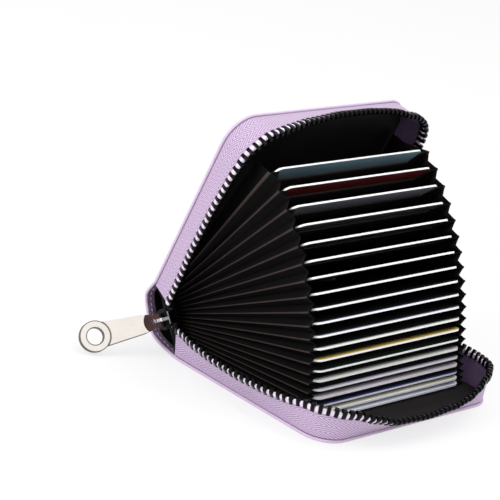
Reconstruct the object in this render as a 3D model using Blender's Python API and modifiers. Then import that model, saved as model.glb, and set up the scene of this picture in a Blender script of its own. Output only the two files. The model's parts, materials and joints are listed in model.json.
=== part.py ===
"""Zip-round card wallet, lying open on its back cover with twenty cards in its accordion."""

import math

import bmesh
import bpy

# Cards and their pockets. Card size is the usual one of a bank card. Pockets hang on the spine.
CARD_LENGTH = 0.0856
CARD_HEIGHT = 0.05398
CARD_THICKNESS = 0.00076
CARD_RADIUS = 0.00318
CARD_COUNT = 20
CARD_SETBACK = 0.00902
CARD_REACH = CARD_HEIGHT + CARD_SETBACK
CARD_REACH_GROWTH = 0.0060
LEAF_PITCH = 0.00117
FIRST_LEAF_HEIGHT = 0.00273
LEAF_ROOT = 0.0032
LOWEST_LEAF_ANGLE = math.radians(-1.0)
LEAF_STEP = math.radians(1.1)
LEAF_STEP_GROWTH = math.radians(0.2421)

# Covers and spine. X runs from the spine to the fore edge, Y along the spine, Z up.
CARD_END_ROOM = 0.0082
CARD_FORE_ROOM = 0.0130
LAST_LEAF_ROOM = 0.00354
COVER_WIDTH = CARD_REACH + CARD_FORE_ROOM
COVER_LENGTH = CARD_LENGTH + 2 * CARD_END_ROOM
CLOSED_THICKNESS = FIRST_LEAF_HEIGHT + (CARD_COUNT - 1) * LEAF_PITCH + LAST_LEAF_ROOM
CORNER_RADIUS = 0.0115
HALF_FOLD = math.radians(37.85)
LEATHER = 0.0011
BOARD = 0.0009
LINING = 0.0003
LAYER_GAP = 0.00005
COVER_CREASE = 0.0002
SPINE_CREASE = 0.0013
SPINE_BULGE = 0.0072
SPINE_HEIGHT_SHARES = (0.12, 0.21, 0.31, 0.40, 0.52, 0.66, 0.80, 0.90, 0.945)
SPINE_BULGE_SHARES = (0.0, 0.40, 0.79, 1.0, 1.0, 0.93, 0.83, 0.70, 0.50)
LINED_CREASE = 0.0016
SPINE_LINED_CREASE = 0.0026
WEB = 0.0004
WEB_END_MARGIN = 0.0040

# Zip tape and teeth. Heights are taken from the middle of the closed wallet.
TAPE = 0.0006
TAPE_INSET = 0.0005
TAPE_MIDDLE_GAP = 0.00125
TAPE_TOP = CLOSED_THICKNESS / 2 - TAPE_MIDDLE_GAP
TAPE_START = 0.0035
TAPE_SIDE_GAP = 0.0003
TOOTH_PITCH = 0.0027
TOOTH_LENGTH = 0.00115
TOOTH_HALF_THICKNESS = 0.0011
TOOTH_OVERLAP = 0.0006
TOOTH_HEIGHT = 0.00315
TOOTH_TOP = CLOSED_THICKNESS / 2 + TOOTH_OVERLAP
TOOTH_BASE = TOOTH_TOP - TOOTH_HEIGHT
TEETH_MARGIN = 0.0006
TAPE_UPRIGHT = 0.0235
BACK_LEAN = math.radians(52.0)
FRONT_LEAN = math.radians(30.0)
LEAN_PLACE_SHARES = (0.0, 0.036, 0.144, 0.182, 0.216, 0.249, 0.287, 0.334, 0.419, 0.495,
                     0.542, 0.580, 0.618, 0.656, 0.694, 0.741, 0.836, 0.907, 0.969, 1.0)
BACK_LEAN_SHARES = (0.0, 0.27, 0.27, 0.27, 0.19, 0.35, 0.71, 0.94, 1.0, 0.92,
                    0.79, 0.58, 0.25, 0.0, 0.08, 0.35, 0.54, 0.46, 0.15, 0.0)
FRONT_LEAN_SHARES = (0.0, 0.47, 0.47, 0.23, 0.03, 0.17, 0.47, 0.73, 0.97, 0.97,
                     0.87, 0.73, 0.40, 0.20, 0.27, 0.50, 0.67, 0.50, 0.20, 0.0)
CORD_HALF_THICKNESS = 0.00055
CORD_GRIP = 0.00045
CORD_RISE = 0.0005
CORD_BASE = TAPE_TOP - CORD_GRIP
CORD_TOP = TAPE_TOP + CORD_RISE
CLASP_GAP = 0.0001
TAPE_END_THICKNESS = 0.0005
TAPE_END_GAP = 0.0003
TAPE_END_FOOT = 0.0016
TAPE_END_FOLD_DEPTH = 0.0030
TAPE_END_FOOT_STEP = 0.0014
TAPE_MOUTH_GAP = 0.0004
TAPE_MOUTH_EDGE = 0.00205
TAPE_MOUTH_ELBOW = 0.00425
TAPE_TAIL_BACK = 0.0014
TAPE_TAIL_EDGE = 0.00085
TAPE_TAIL_ELBOW = 0.00335

# Pocket walls.
WALL = 0.00018
WALL_GAP = 0.00005
WALL_START = 0.00015
WALL_PAST_CARD = 0.0018
WALL_HALF_WIDTH = CARD_LENGTH / 2 + WALL_PAST_CARD
WALL_TAB_WIDTH = 0.0034
WALL_TAB_SLANT = 0.0032
WALL_TAB_SHORT = 0.0010
WALL_MOUTH_SHORT = 0.0060

# Folded gussets at both ends of the pockets.
GUSSET = 0.00015
GUSSET_PAST_WALL = 0.0018
GUSSET_ROOT_PAST_WALL = 0.0006
GUSSET_PAST_CARD = 0.0003
GUSSET_TIP = WALL_HALF_WIDTH + GUSSET_PAST_WALL
GUSSET_ROOT_VALLEY = WALL_HALF_WIDTH + GUSSET_ROOT_PAST_WALL
GUSSET_VALLEY = CARD_LENGTH / 2 + GUSSET_PAST_CARD
GUSSET_START = 0.0012
GUSSET_SHORT = 0.0008
GUSSET_COVER_GAP = 0.0005
GUSSET_FORE_MARGIN = 0.0062
GUSSET_MIDDLE_SHARE = 0.5
GUSSET_ROW_SHARES = (0.0, 0.5, 1.0)

# Slider and puller.
SLIDER_REST = 0.0040
SLIDER_TEETH_GAP = 0.0003
SLIDER_LENGTH = 0.0080
SLIDER_MOUTH_WIDTH = 0.0078
SLIDER_TAIL_WIDTH = 0.0056
SLIDER_CHAMFER = 0.0014
SLIDER_PLATE = 0.0007
SLIDER_CHANNEL = 0.0022
RIM_WIDTH = 0.0007
RIM_HEIGHT = 0.0006
POST_LENGTH = 0.0030
POST_WIDTH = 0.0022
PIN_RADIUS = 0.0006
PIN_CLEARANCE = 0.0004
BAIL_THICKNESS = 0.0010
BAIL_WIDTH = 0.0012
BAIL_SIDE_GAP = 0.00035
EYE_ARM = 0.0016
EYE_LENGTH = 0.0034
PULLER_THICKNESS = 0.0016
PULLER_LENGTH = 0.0310
PULLER_RING_RADIUS = 0.0058
PULLER_RING_RAISE = 0.00035
PULLER_HOLE_RADIUS = 0.0031
PULLER_NECK_HALF_WIDTH = 0.0029
PULLER_NECK_END = 0.0064
PULLER_NECK_CURVE = 0.0048
PULLER_NECK_SINK = 0.0003
PULLER_SHOULDER = 0.0068
PULLER_SHOULDER_HALF_WIDTH = 0.0036
PULLER_WAIST_HALF_WIDTH = 0.0049
PULLER_REST = math.radians(59.0)
FUSE = 0.0003

ARC_STEPS = 12
BAIL_STEPS = 15
CARD_ARC_STEPS = 4
RING_STEPS = 36
PIN_STEPS = 16

INNER_FACE = LEATHER + BOARD + LINING + 2 * LAYER_GAP


def clear_scene():
    for item in list(bpy.data.objects):
        bpy.data.objects.remove(item, do_unlink=True)


def collection(name):
    group = bpy.data.collections.new(name)
    bpy.context.scene.collection.children.link(group)
    return group


clear_scene()
PARTS = collection("zip_card_wallet")
CUTTERS = collection("cutters")
CUTTERS.hide_render = True


def material(name, colour, roughness, metallic=0.0):
    made = bpy.data.materials.new(name)
    made.use_nodes = True
    shader = made.node_tree.nodes["Principled BSDF"]
    shader.inputs["Base Color"].default_value = (*colour, 1.0)
    shader.inputs["Roughness"].default_value = roughness
    shader.inputs["Metallic"].default_value = metallic
    made.diffuse_color = (*colour, 1.0)
    return made


def pivot(name, place, turn_y=0.0, turn_z=0.0, parent=None):
    """An empty on a joint's axis, which carries the pieces that turn about it."""
    made = bpy.data.objects.new(name, None)
    made.location = place
    made.rotation_euler = (0.0, turn_y, turn_z)
    made.parent = parent
    PARTS.objects.link(made)
    return made


def place_mesh(name, built, skin, parent, group=None):
    bmesh.ops.recalc_face_normals(built, faces=built.faces)
    mesh = bpy.data.meshes.new(name)
    built.to_mesh(mesh)
    built.free()
    made = bpy.data.objects.new(name, mesh)
    made.parent = parent
    mesh.materials.append(skin)
    (group or PARTS).objects.link(made)
    return made


def helper(made):
    made.hide_render = True
    made.display_type = "WIRE"
    return made


def plate(name, outline, low, high, skin, parent, lie=None, group=None):
    """A flat outline given thickness from low to high; lie places a point of it and its height."""
    lie = lie or (lambda a, b, height: (a, b, height))
    built = bmesh.new()
    corners = [built.verts.new(lie(a, b, low)) for a, b in outline]
    face = built.faces.new(corners)
    grown = bmesh.ops.extrude_face_region(built, geom=[face])
    lifted = [item for item in grown["geom"] if isinstance(item, bmesh.types.BMVert)]
    step = [end - start for start, end in zip(lie(0.0, 0.0, low), lie(0.0, 0.0, high))]
    bmesh.ops.translate(built, verts=lifted, vec=step)
    return place_mesh(name, built, skin, parent, group)


def loft(name, rings, skin, parent):
    """A closed skin through rings of equal count, capped at both ends."""
    built = bmesh.new()
    rows = [[built.verts.new(point) for point in ring] for ring in rings]
    for near, far in zip(rows, rows[1:]):
        for i in range(len(near)):
            j = (i + 1) % len(near)
            built.faces.new((near[i], near[j], far[j], far[i]))
    built.faces.new(rows[0])
    built.faces.new(rows[-1])
    return place_mesh(name, built, skin, parent)


def unite(target, pieces):
    for piece in pieces:
        helper(piece)
        joined = target.modifiers.new(piece.name, "BOOLEAN")
        joined.operation = "UNION"
        joined.solver = "EXACT"
        joined.object = piece
    return target


def cut(target, piece):
    helper(piece)
    opened = target.modifiers.new(piece.name, "BOOLEAN")
    opened.operation = "DIFFERENCE"
    opened.solver = "EXACT"
    opened.object = piece
    return target


def smooth(made, angle=math.radians(35)):
    made.data.shade_smooth()
    made.data.set_sharp_from_angle(angle=angle)
    return made


def arc(centre_x, centre_y, radius, start, end, steps):
    """Points of an arc, its angles in degrees."""
    points = []
    for i in range(steps + 1):
        angle = math.radians(start + (end - start) * i / steps)
        points.append((centre_x + radius * math.cos(angle), centre_y + radius * math.sin(angle)))
    return points


def cover_outline(start, inset):
    """A cover's outline: straight at the spine, round at its two fore corners."""
    half = COVER_LENGTH / 2 - inset
    radius = CORNER_RADIUS - inset
    centre_x = COVER_WIDTH - CORNER_RADIUS
    centre_y = COVER_LENGTH / 2 - CORNER_RADIUS
    near = arc(centre_x, -centre_y, radius, -90, 0, ARC_STEPS)
    far = arc(centre_x, centre_y, radius, 0, 90, ARC_STEPS)
    return [(start, -half), *near, *far, (start, half)]


def track_point(distance, offset):
    """A point that far along the zip's track, moved outwards by offset."""
    radius = CORNER_RADIUS - TAPE_INSET - TAPE / 2
    centre_x = COVER_WIDTH - CORNER_RADIUS
    centre_y = COVER_LENGTH / 2 - CORNER_RADIUS
    run = centre_x - TAPE_START
    bend = radius * math.pi / 2
    side = 2 * centre_y
    reach = radius + offset
    if distance <= run:
        return TAPE_START + distance, -centre_y - reach
    distance -= run
    if distance <= bend:
        angle = distance / radius - math.pi / 2
        return centre_x + reach * math.cos(angle), -centre_y + reach * math.sin(angle)
    distance -= bend
    if distance <= side:
        return centre_x + reach, distance - centre_y
    distance -= side
    if distance <= bend:
        angle = distance / radius
        return centre_x + reach * math.cos(angle), centre_y + reach * math.sin(angle)
    return centre_x - (distance - bend), centre_y + reach


def track_length():
    radius = CORNER_RADIUS - TAPE_INSET - TAPE / 2
    run = COVER_WIDTH - CORNER_RADIUS - TAPE_START
    return 2 * run + math.pi * radius + COVER_LENGTH - 2 * CORNER_RADIUS


def tape_lean(shares, most, distance):
    """How far a tape leans outwards there. It is upright along the slider's run."""
    along = (distance - TAPE_UPRIGHT) / (track_length() - TAPE_UPRIGHT)
    stops = list(zip(LEAN_PLACE_SHARES, shares))
    for (low, start), (high, end) in zip(stops, stops[1:]):
        if along <= high:
            return most * (start + (end - start) * max(0.0, (along - low) / (high - low)))
    return most * shares[-1]


def tape_point(distance, across, height, lean, side):
    """A point of a leaning tape. Its height is taken along the tape, and its foot lies flat."""
    foot = LEATHER + LAYER_GAP
    if height <= foot:
        return (*track_point(distance, across), side * foot)
    rise = height - foot
    offset = rise * math.sin(lean) + across * math.cos(lean)
    level = foot + rise * math.cos(lean) - across * math.sin(lean)
    return (*track_point(distance, offset), side * level)


def tooth_starts(shift):
    """Distances at which the teeth begin. The tape bends only there."""
    start = TEETH_MARGIN + shift
    count = int((track_length() - start - TOOTH_LENGTH - TEETH_MARGIN) / TOOTH_PITCH) + 1
    return [start + i * TOOTH_PITCH for i in range(count)]


def zip_tape(name, side, shift, lean_at, skin, parent):
    """The tape, swept round the track from its foot on the leather to its free edge."""
    shape = [(-TAPE / 2, 0.0), (-TAPE / 2, TAPE_TOP), (TAPE / 2, TAPE_TOP), (TAPE / 2, 0.0)]
    stations = [0.0, *tooth_starts(shift), track_length()]
    rings = [[tape_point(distance, across, height, lean_at(distance), side) for across, height in shape]
             for distance in stations]
    return loft(name, rings, skin, parent)


def tooth_chain(name, side, shift, lean_at, skin, parent):
    """Teeth clasped on the tape's edge and strung on one cord, swept round the track."""
    slot = TAPE / 2 + CLASP_GAP
    roof = TAPE_TOP + CLASP_GAP
    starts = tooth_starts(shift)
    stations = [0.0, *starts, track_length()]

    def section(half, base, top):
        return [(-half, base), (-half, top), (half, top), (half, base),
                (slot, base), (slot, roof), (-slot, roof), (-slot, base)]

    def ring(shape, index, distance):
        """Points on the straight run of tape from one station to the next."""
        low, high = stations[index], stations[index + 1]
        share = (distance - low) / (high - low)
        points = []
        for across, height in shape:
            near = tape_point(low, across, height, lean_at(low), side)
            far = tape_point(high, across, height, lean_at(high), side)
            points.append([a + share * (b - a) for a, b in zip(near, far)])
        return points

    cord = section(CORD_HALF_THICKNESS, CORD_BASE, CORD_TOP)
    tooth = section(TOOTH_HALF_THICKNESS, TOOTH_BASE, TOOTH_TOP)
    rings = [ring(cord, 0, starts[0] - TEETH_MARGIN / 2)]
    for i, begin in enumerate(starts, 1):
        end = begin + TOOTH_LENGTH
        rings += [ring(cord, i, begin), ring(tooth, i, begin), ring(tooth, i, end), ring(cord, i, end)]
    rings.append(ring(cord, len(starts), end + TEETH_MARGIN / 2))
    return loft(name, rings, skin, parent)


def cover(name, side, shift, lean_at, parent):
    """One cover: leather, board and lining, with its zip tape and teeth standing round three edges."""
    board_top = LEATHER + LAYER_GAP + BOARD
    inset = TAPE_INSET + TAPE + TAPE_SIDE_GAP
    lined = cover_outline(LINED_CREASE, inset)
    plate(name + "_leather", cover_outline(COVER_CREASE, 0.0), 0.0, side * LEATHER, LILAC, parent)
    plate(name + "_board", lined, side * (LEATHER + LAYER_GAP), side * board_top, GREY_BOARD, parent)
    plate(name + "_lining", lined, side * (board_top + LAYER_GAP), side * INNER_FACE, BLACK_LINING, parent)
    zip_tape(name + "_zip_tape", side, shift, lean_at, LILAC_TAPE, parent)
    tooth_chain(name + "_zip_teeth", side, shift, lean_at, GUNMETAL, parent)


def spine_leather(parent):
    """The spine's leather, longer than the space it spans, so it lies flat at the back and bulges out."""
    line = [(0.0, SPINE_CREASE)]
    for up, out in zip(SPINE_HEIGHT_SHARES, SPINE_BULGE_SHARES):
        line.append((-SPINE_BULGE * out, CLOSED_THICKNESS * up))
    line.append((LEATHER, CLOSED_THICKNESS - SPINE_CREASE))
    inside = []
    for i, (x, z) in enumerate(line):
        before = line[max(i - 1, 0)]
        after = line[min(i + 1, len(line) - 1)]
        step_x, step_z = after[0] - before[0], after[1] - before[1]
        length = math.hypot(step_x, step_z)
        inside.append((x + LEATHER * step_z / length, z - LEATHER * step_x / length))
    half = COVER_LENGTH / 2
    return across_plate("spine_leather", line + inside[::-1], -half, half, LILAC, parent)


def spine(parent):
    """The spine's layers stand along Z of the spine's own frame, with +X into the wallet."""
    def strip(name, low, high, crease, end_margin, skin):
        half = COVER_LENGTH / 2 - end_margin
        outline = [(-half, crease), (half, crease),
                   (half, CLOSED_THICKNESS - crease), (-half, CLOSED_THICKNESS - crease)]
        plate(name, outline, low, high, skin, parent, lambda a, b, height: (height, a, b))

    board_top = LEATHER + LAYER_GAP + BOARD
    inset = TAPE_INSET + TAPE + TAPE_SIDE_GAP
    spine_leather(parent)
    strip("spine_board", LEATHER + LAYER_GAP, board_top, SPINE_LINED_CREASE, inset, GREY_BOARD)
    strip("spine_lining", board_top + LAYER_GAP, INNER_FACE, SPINE_LINED_CREASE, inset, BLACK_LINING)
    strip("accordion_web", INNER_FACE + LAYER_GAP, INNER_FACE + LAYER_GAP + WEB,
          SPINE_LINED_CREASE, WEB_END_MARGIN, BLACK_CLOTH)


def leaf_angle(j):
    """A pocket's angle from the back cover, the lowest being 0."""
    return LOWEST_LEAF_ANGLE + LEAF_STEP * j + LEAF_STEP_GROWTH * j * (j - 1) / 2


def card_reach(j):
    """How far a card's fore edge lies from its pocket's root."""
    return CARD_REACH + CARD_REACH_GROWTH * (j / (CARD_COUNT - 1)) ** 2


def card_outline(reach):
    half = CARD_LENGTH / 2 - CARD_RADIUS
    near_x = reach - CARD_HEIGHT + CARD_RADIUS
    far_x = reach - CARD_RADIUS
    return (arc(near_x, -half, CARD_RADIUS, 180, 270, CARD_ARC_STEPS)
            + arc(far_x, -half, CARD_RADIUS, 270, 360, CARD_ARC_STEPS)
            + arc(far_x, half, CARD_RADIUS, 0, 90, CARD_ARC_STEPS)
            + arc(near_x, half, CARD_RADIUS, 90, 180, CARD_ARC_STEPS))


def wall_outline(reach):
    """A pocket wall with its mouth cut back between two side tabs."""
    tab = reach - WALL_TAB_SHORT
    mouth = reach - WALL_MOUTH_SHORT
    inner = WALL_HALF_WIDTH - WALL_TAB_WIDTH
    half = [(WALL_START, WALL_HALF_WIDTH), (tab, WALL_HALF_WIDTH), (tab, inner),
            (mouth, inner - WALL_TAB_SLANT)]
    return [(x, -y) for x, y in half] + half[::-1]


def leaf(j, parent):
    """A pocket wall and the card in front of it, both hung at the pocket's root on the spine."""
    number = CARD_COUNT - j
    root = (LEAF_ROOT, 0.0, FIRST_LEAF_HEIGHT + j * LEAF_PITCH)
    hinge = pivot(f"leaf_{number:02d}_hinge", root, HALF_FOLD - leaf_angle(j), 0.0, parent)
    plate(f"pocket_wall_{number:02d}", wall_outline(card_reach(j)), -WALL / 2, WALL / 2, BLACK_CLOTH, hinge)
    low = WALL / 2 + WALL_GAP
    skin = CARD_SKINS[number % len(CARD_SKINS)]
    plate(f"card_{number:02d}", card_outline(card_reach(j)), low, low + CARD_THICKNESS, skin, hinge)


def spine_point(inward, up):
    """X and Z, from the back cover's crease, of a point given in the spine's own frame."""
    return (inward * math.cos(HALF_FOLD) - up * math.sin(HALF_FOLD),
            inward * math.sin(HALF_FOLD) + up * math.cos(HALF_FOLD))


def gusset(name, end, skin):
    """The accordion's folded end: a crest at each pocket wall and at the front cover, valleys between."""
    def crest(j, distance):
        x, z = spine_point(LEAF_ROOT, FIRST_LEAF_HEIGHT + j * LEAF_PITCH)
        angle = leaf_angle(j)
        return x + distance * math.cos(angle), z + distance * math.sin(angle)

    def front_cover_line(distance):
        lift = INNER_FACE + GUSSET_COVER_GAP
        x, z = spine_point(0.0, CLOSED_THICKNESS)
        fold = 2 * HALF_FOLD
        reach = LEAF_ROOT + GUSSET_COVER_GAP + distance
        return (x + reach * math.cos(fold) + lift * math.sin(fold),
                z + reach * math.sin(fold) - lift * math.cos(fold))

    def row(share):
        lines = []
        fore = COVER_WIDTH - CORNER_RADIUS - GUSSET_FORE_MARGIN
        for j in range(CARD_COUNT):
            span = card_reach(j) - GUSSET_SHORT - GUSSET_START
            lines.append((*crest(j, GUSSET_START + share * span), GUSSET_TIP))
        lines.append((*front_cover_line(share * fore), GUSSET_TIP))
        depth = GUSSET_ROOT_VALLEY + share * (GUSSET_VALLEY - GUSSET_ROOT_VALLEY)
        folded = [lines[0]]
        for low, high in zip(lines, lines[1:]):
            middle = [a + GUSSET_MIDDLE_SHARE * (b - a) for a, b in zip(low, high)]
            folded += [(middle[0], middle[1], depth), high]
        return [(x, end * y, z) for x, z, y in folded]

    built = bmesh.new()
    rows = [[built.verts.new(point) for point in row(share)] for share in GUSSET_ROW_SHARES]
    for inner, outer in zip(rows, rows[1:]):
        for i in range(len(inner) - 1):
            built.faces.new((inner[i], inner[i + 1], outer[i + 1], outer[i]))
    made = place_mesh(name, built, skin, BASE)
    thick = made.modifiers.new("cloth", "SOLIDIFY")
    thick.thickness = GUSSET
    thick.offset = 0.0
    return made


def tape_end(name, side, channel_y, skin):
    """The free end of a tape, from the cover's near edge up through the slider's channel."""
    edge_y = -(COVER_LENGTH / 2 - TAPE_INSET - TAPE / 2)
    half = TAPE_END_THICKNESS / 2
    start_x = TAPE_START - TAPE_END_GAP
    mouth = SLIDER_REST + SLIDER_LENGTH / 2 + TAPE_MOUTH_GAP
    tail = SLIDER_REST - TAPE_TAIL_BACK

    def in_channel(inward, below):
        x, z = spine_point(inward, CLOSED_THICKNESS / 2 - below)
        return x, channel_y, z

    def mirrored(point):
        """The front cover's tape mirrors the back cover's in the plane midway between them."""
        x, y, z = point
        middle_x, middle_z = spine_point(0.0, CLOSED_THICKNESS / 2)
        across = (z - middle_z) * math.cos(HALF_FOLD) - (x - middle_x) * math.sin(HALF_FOLD)
        return x + 2 * across * math.sin(HALF_FOLD), y, z - 2 * across * math.cos(HALF_FOLD)

    def ring(line):
        front = [(x, y - half, z) for x, y, z in line]
        back = [(x, y + half, z) for x, y, z in line]
        points = front + back[::-1]
        return points if side > 0 else [mirrored(point) for point in points]

    heights = (TAPE_END_FOOT, TAPE_TOP - TAPE_END_FOLD_DEPTH, TAPE_TOP)
    at_cover = [(start_x, edge_y, height) for height in heights]
    at_mouth = [(start_x - TAPE_END_FOOT_STEP, edge_y, TAPE_END_FOOT),
                in_channel(mouth, TAPE_MOUTH_ELBOW), in_channel(mouth, TAPE_MOUTH_EDGE)]
    at_tail = [(start_x - 2 * TAPE_END_FOOT_STEP, edge_y, TAPE_END_FOOT),
               in_channel(tail, TAPE_TAIL_ELBOW), in_channel(tail, TAPE_TAIL_EDGE)]
    return loft(name, [ring(at_cover), ring(at_mouth), ring(at_tail)], skin, BASE)


def box(name, x0, x1, y0, y1, z0, z1, skin, parent):
    """A primitive cube stretched between its faces, used as a piece of a larger solid."""
    built = bmesh.new()
    bmesh.ops.create_cube(built, size=1.0)
    bmesh.ops.scale(built, verts=built.verts, vec=(x1 - x0, y1 - y0, z1 - z0))
    bmesh.ops.translate(built, verts=built.verts, vec=((x0 + x1) / 2, (y0 + y1) / 2, (z0 + z1) / 2))
    return place_mesh(name, built, skin, parent, CUTTERS)


def across_plate(name, outline, y0, y1, skin, parent, group=None):
    """A plate whose outline lies along X and across Z, with its thickness along Y."""
    return plate(name, outline, y0, y1, skin, parent, lambda a, b, height: (a, height, b), group)


def slider(parent):
    """Two plates joined by a wedge, with rims that guide the tapes and a bail for the puller."""
    back = SLIDER_CHANNEL / 2
    rear = -SLIDER_LENGTH / 2
    front = SLIDER_LENGTH / 2
    tail = SLIDER_TAIL_WIDTH / 2
    mouth = SLIDER_MOUTH_WIDTH / 2
    outline = [(rear, -tail + SLIDER_CHAMFER), (rear + SLIDER_CHAMFER, -tail), (0.0, -mouth),
               (front - SLIDER_CHAMFER, -mouth), (front, -mouth + SLIDER_CHAMFER),
               (front, mouth - SLIDER_CHAMFER), (front - SLIDER_CHAMFER, mouth), (0.0, mouth),
               (rear + SLIDER_CHAMFER, tail), (rear, tail - SLIDER_CHAMFER)]
    outer = -back - SLIDER_PLATE
    body = across_plate("zip_slider", outline, outer, -back, GUNMETAL, parent)
    inner = across_plate("slider_inner_plate", outline, back, back + SLIDER_PLATE, GUNMETAL, parent, CUTTERS)
    post_tip = front - POST_LENGTH
    wedge = [(post_tip, 0.0), (post_tip + POST_LENGTH / 2, -POST_WIDTH / 2),
             (front - FUSE, -POST_WIDTH / 4), (front - FUSE, POST_WIDTH / 4),
             (post_tip + POST_LENGTH / 2, POST_WIDTH / 2)]
    post = across_plate("slider_post", wedge, -back - FUSE, back + FUSE, GUNMETAL, parent, CUTTERS)
    pieces = [inner, post]
    start = rear + SLIDER_CHAMFER
    for label, low, high in (("low", -tail, RIM_WIDTH - tail), ("high", tail - RIM_WIDTH, tail)):
        pieces.append(box("rim_outer_" + label, start, 0.0, -back - FUSE, -back + RIM_HEIGHT,
                          low, high, GUNMETAL, parent))
        pieces.append(box("rim_inner_" + label, start, 0.0, back - RIM_HEIGHT, back + FUSE,
                          low, high, GUNMETAL, parent))
    hole = PIN_RADIUS + PIN_CLEARANCE
    ring = hole + BAIL_THICKNESS
    pin_y = outer - PIN_CLEARANCE - PIN_RADIUS
    foot = outer + FUSE
    outside = [(-ring, foot)] + [(x, pin_y - y) for x, y in arc(0.0, 0.0, ring, 180, 0, BAIL_STEPS)]
    inside = [(-hole, foot)] + [(x, pin_y - y) for x, y in arc(0.0, 0.0, hole, 180, 0, BAIL_STEPS)]
    profile = outside + [(ring, foot), (hole, foot)] + inside[:0:-1] + [(-hole, foot)]
    bail = plate("slider_bail", profile, -BAIL_WIDTH / 2, BAIL_WIDTH / 2, GUNMETAL, parent, None, CUTTERS)
    unite(body, [*pieces, bail])
    return pin_y


def disc(centre, radius):
    """Points of a full circle in a plate's outline."""
    turn = 2 * math.pi / RING_STEPS
    return [(centre + radius * math.cos(turn * i), radius * math.sin(turn * i)) for i in range(RING_STEPS)]


def puller(parent):
    """A flat puller: an eye with its cross pin, a sunk neck, a tapering blade and a raised ring."""
    centre = PULLER_LENGTH - PULLER_RING_RADIUS
    half = PULLER_THICKNESS / 2
    start = EYE_LENGTH
    low_side = [(start, -PULLER_NECK_HALF_WIDTH), (PULLER_SHOULDER, -PULLER_SHOULDER_HALF_WIDTH),
                (centre, -PULLER_WAIST_HALF_WIDTH)]
    high_side = [(x, -z) for x, z in low_side[::-1]]
    blade = across_plate("zip_puller", low_side + high_side, -half, half, BRUSHED, parent)
    hollow = disc(PULLER_NECK_END - PULLER_NECK_CURVE, PULLER_NECK_CURVE)
    sunk = half - PULLER_NECK_SINK
    for label, low, high in (("outer", -half - FUSE, -sunk), ("inner", sunk, half + FUSE)):
        cut(blade, across_plate("neck_hollow_" + label, hollow, low, high, BRUSHED, parent, CUTTERS))
    raised = half + PULLER_RING_RAISE
    rim = across_plate("ring_rim", disc(centre, PULLER_RING_RADIUS), -raised, raised, BRUSHED, parent, CUTTERS)
    arm_in = BAIL_WIDTH / 2 + BAIL_SIDE_GAP
    arm_out = arm_in + EYE_ARM
    arm_half = PIN_RADIUS
    arm_end = start + FUSE
    arms = []
    for label, low, high in (("low", -arm_out, -arm_in), ("high", arm_in, arm_out)):
        arms.append(box("eye_arm_" + label, 0.0, arm_end, -arm_half, arm_half, low, high, BRUSHED, parent))
    pin_mesh = bmesh.new()
    bmesh.ops.create_cone(pin_mesh, cap_ends=True, segments=PIN_STEPS, radius1=PIN_RADIUS,
                          radius2=PIN_RADIUS, depth=2 * arm_out)
    pin = place_mesh("eye_pin", pin_mesh, BRUSHED, parent, CUTTERS)
    hole = across_plate("puller_hole", disc(centre, PULLER_HOLE_RADIUS), -raised - FUSE, raised + FUSE,
                        BRUSHED, parent, CUTTERS)
    unite(blade, [*arms, pin, rim])
    return smooth(cut(blade, hole))


LILAC = material("lilac_pebbled_leather", (0.56, 0.36, 0.60), 0.38)
LILAC_TAPE = material("lilac_twill_tape", (0.50, 0.33, 0.56), 0.75)
GREY_BOARD = material("grey_board", (0.25, 0.24, 0.23), 0.85)
BLACK_LINING = material("black_lining", (0.012, 0.010, 0.011), 0.70)
BLACK_CLOTH = material("black_accordion_cloth", (0.016, 0.012, 0.012), 0.65)
GUNMETAL = material("gunmetal", (0.06, 0.06, 0.065), 0.28, 1.0)
BRUSHED = material("brushed_nickel", (0.72, 0.69, 0.62), 0.35, 1.0)
CARD_SKINS = [
    material("card_pearl", (0.72, 0.71, 0.78), 0.35),
    material("card_teal", (0.16, 0.27, 0.30), 0.35),
    material("card_wine", (0.16, 0.03, 0.03), 0.35),
    material("card_white", (0.80, 0.80, 0.80), 0.35),
]

BASE = pivot("wallet_base", (-COVER_WIDTH / 2, 0.0, 0.0))
SPINE_HINGE = pivot("spine_hinge", (0.0, 0.0, 0.0), -HALF_FOLD, 0.0, BASE)
FRONT_HINGE = pivot("front_cover_hinge", (0.0, 0.0, CLOSED_THICKNESS), -HALF_FOLD, 0.0, SPINE_HINGE)
cover("back_cover", 1, 0.0, lambda distance: tape_lean(BACK_LEAN_SHARES, BACK_LEAN, distance), BASE)
cover("front_cover", -1, TOOTH_PITCH / 2,
      lambda distance: tape_lean(FRONT_LEAN_SHARES, FRONT_LEAN, distance), FRONT_HINGE)
spine(SPINE_HINGE)
for row in range(CARD_COUNT):
    leaf(row, SPINE_HINGE)
gusset("near_gusset", -1, BLACK_CLOTH)
gusset("far_gusset", 1, BLACK_CLOTH)

TEETH_FACE = -(COVER_LENGTH / 2 - TAPE_INSET - TAPE / 2) - TOOTH_HALF_THICKNESS
SLIDER_Y = TEETH_FACE - SLIDER_TEETH_GAP - SLIDER_PLATE - SLIDER_CHANNEL / 2
SLIDER_FRAME = pivot("slider_frame", (SLIDER_REST, SLIDER_Y, CLOSED_THICKNESS / 2), 0.0, 0.0, SPINE_HINGE)
PIN_Y = slider(SLIDER_FRAME)
PULLER_HINGE = pivot("puller_hinge", (0.0, PIN_Y, 0.0), 0.0, math.pi + PULLER_REST, SLIDER_FRAME)
puller(PULLER_HINGE)
tape_end("back_tape_end", 1, SLIDER_Y, LILAC_TAPE)
tape_end("front_tape_end", -1, SLIDER_Y, LILAC_TAPE)
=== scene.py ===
"""Looks for the zip card wallet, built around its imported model."""

import json
import math

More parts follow.
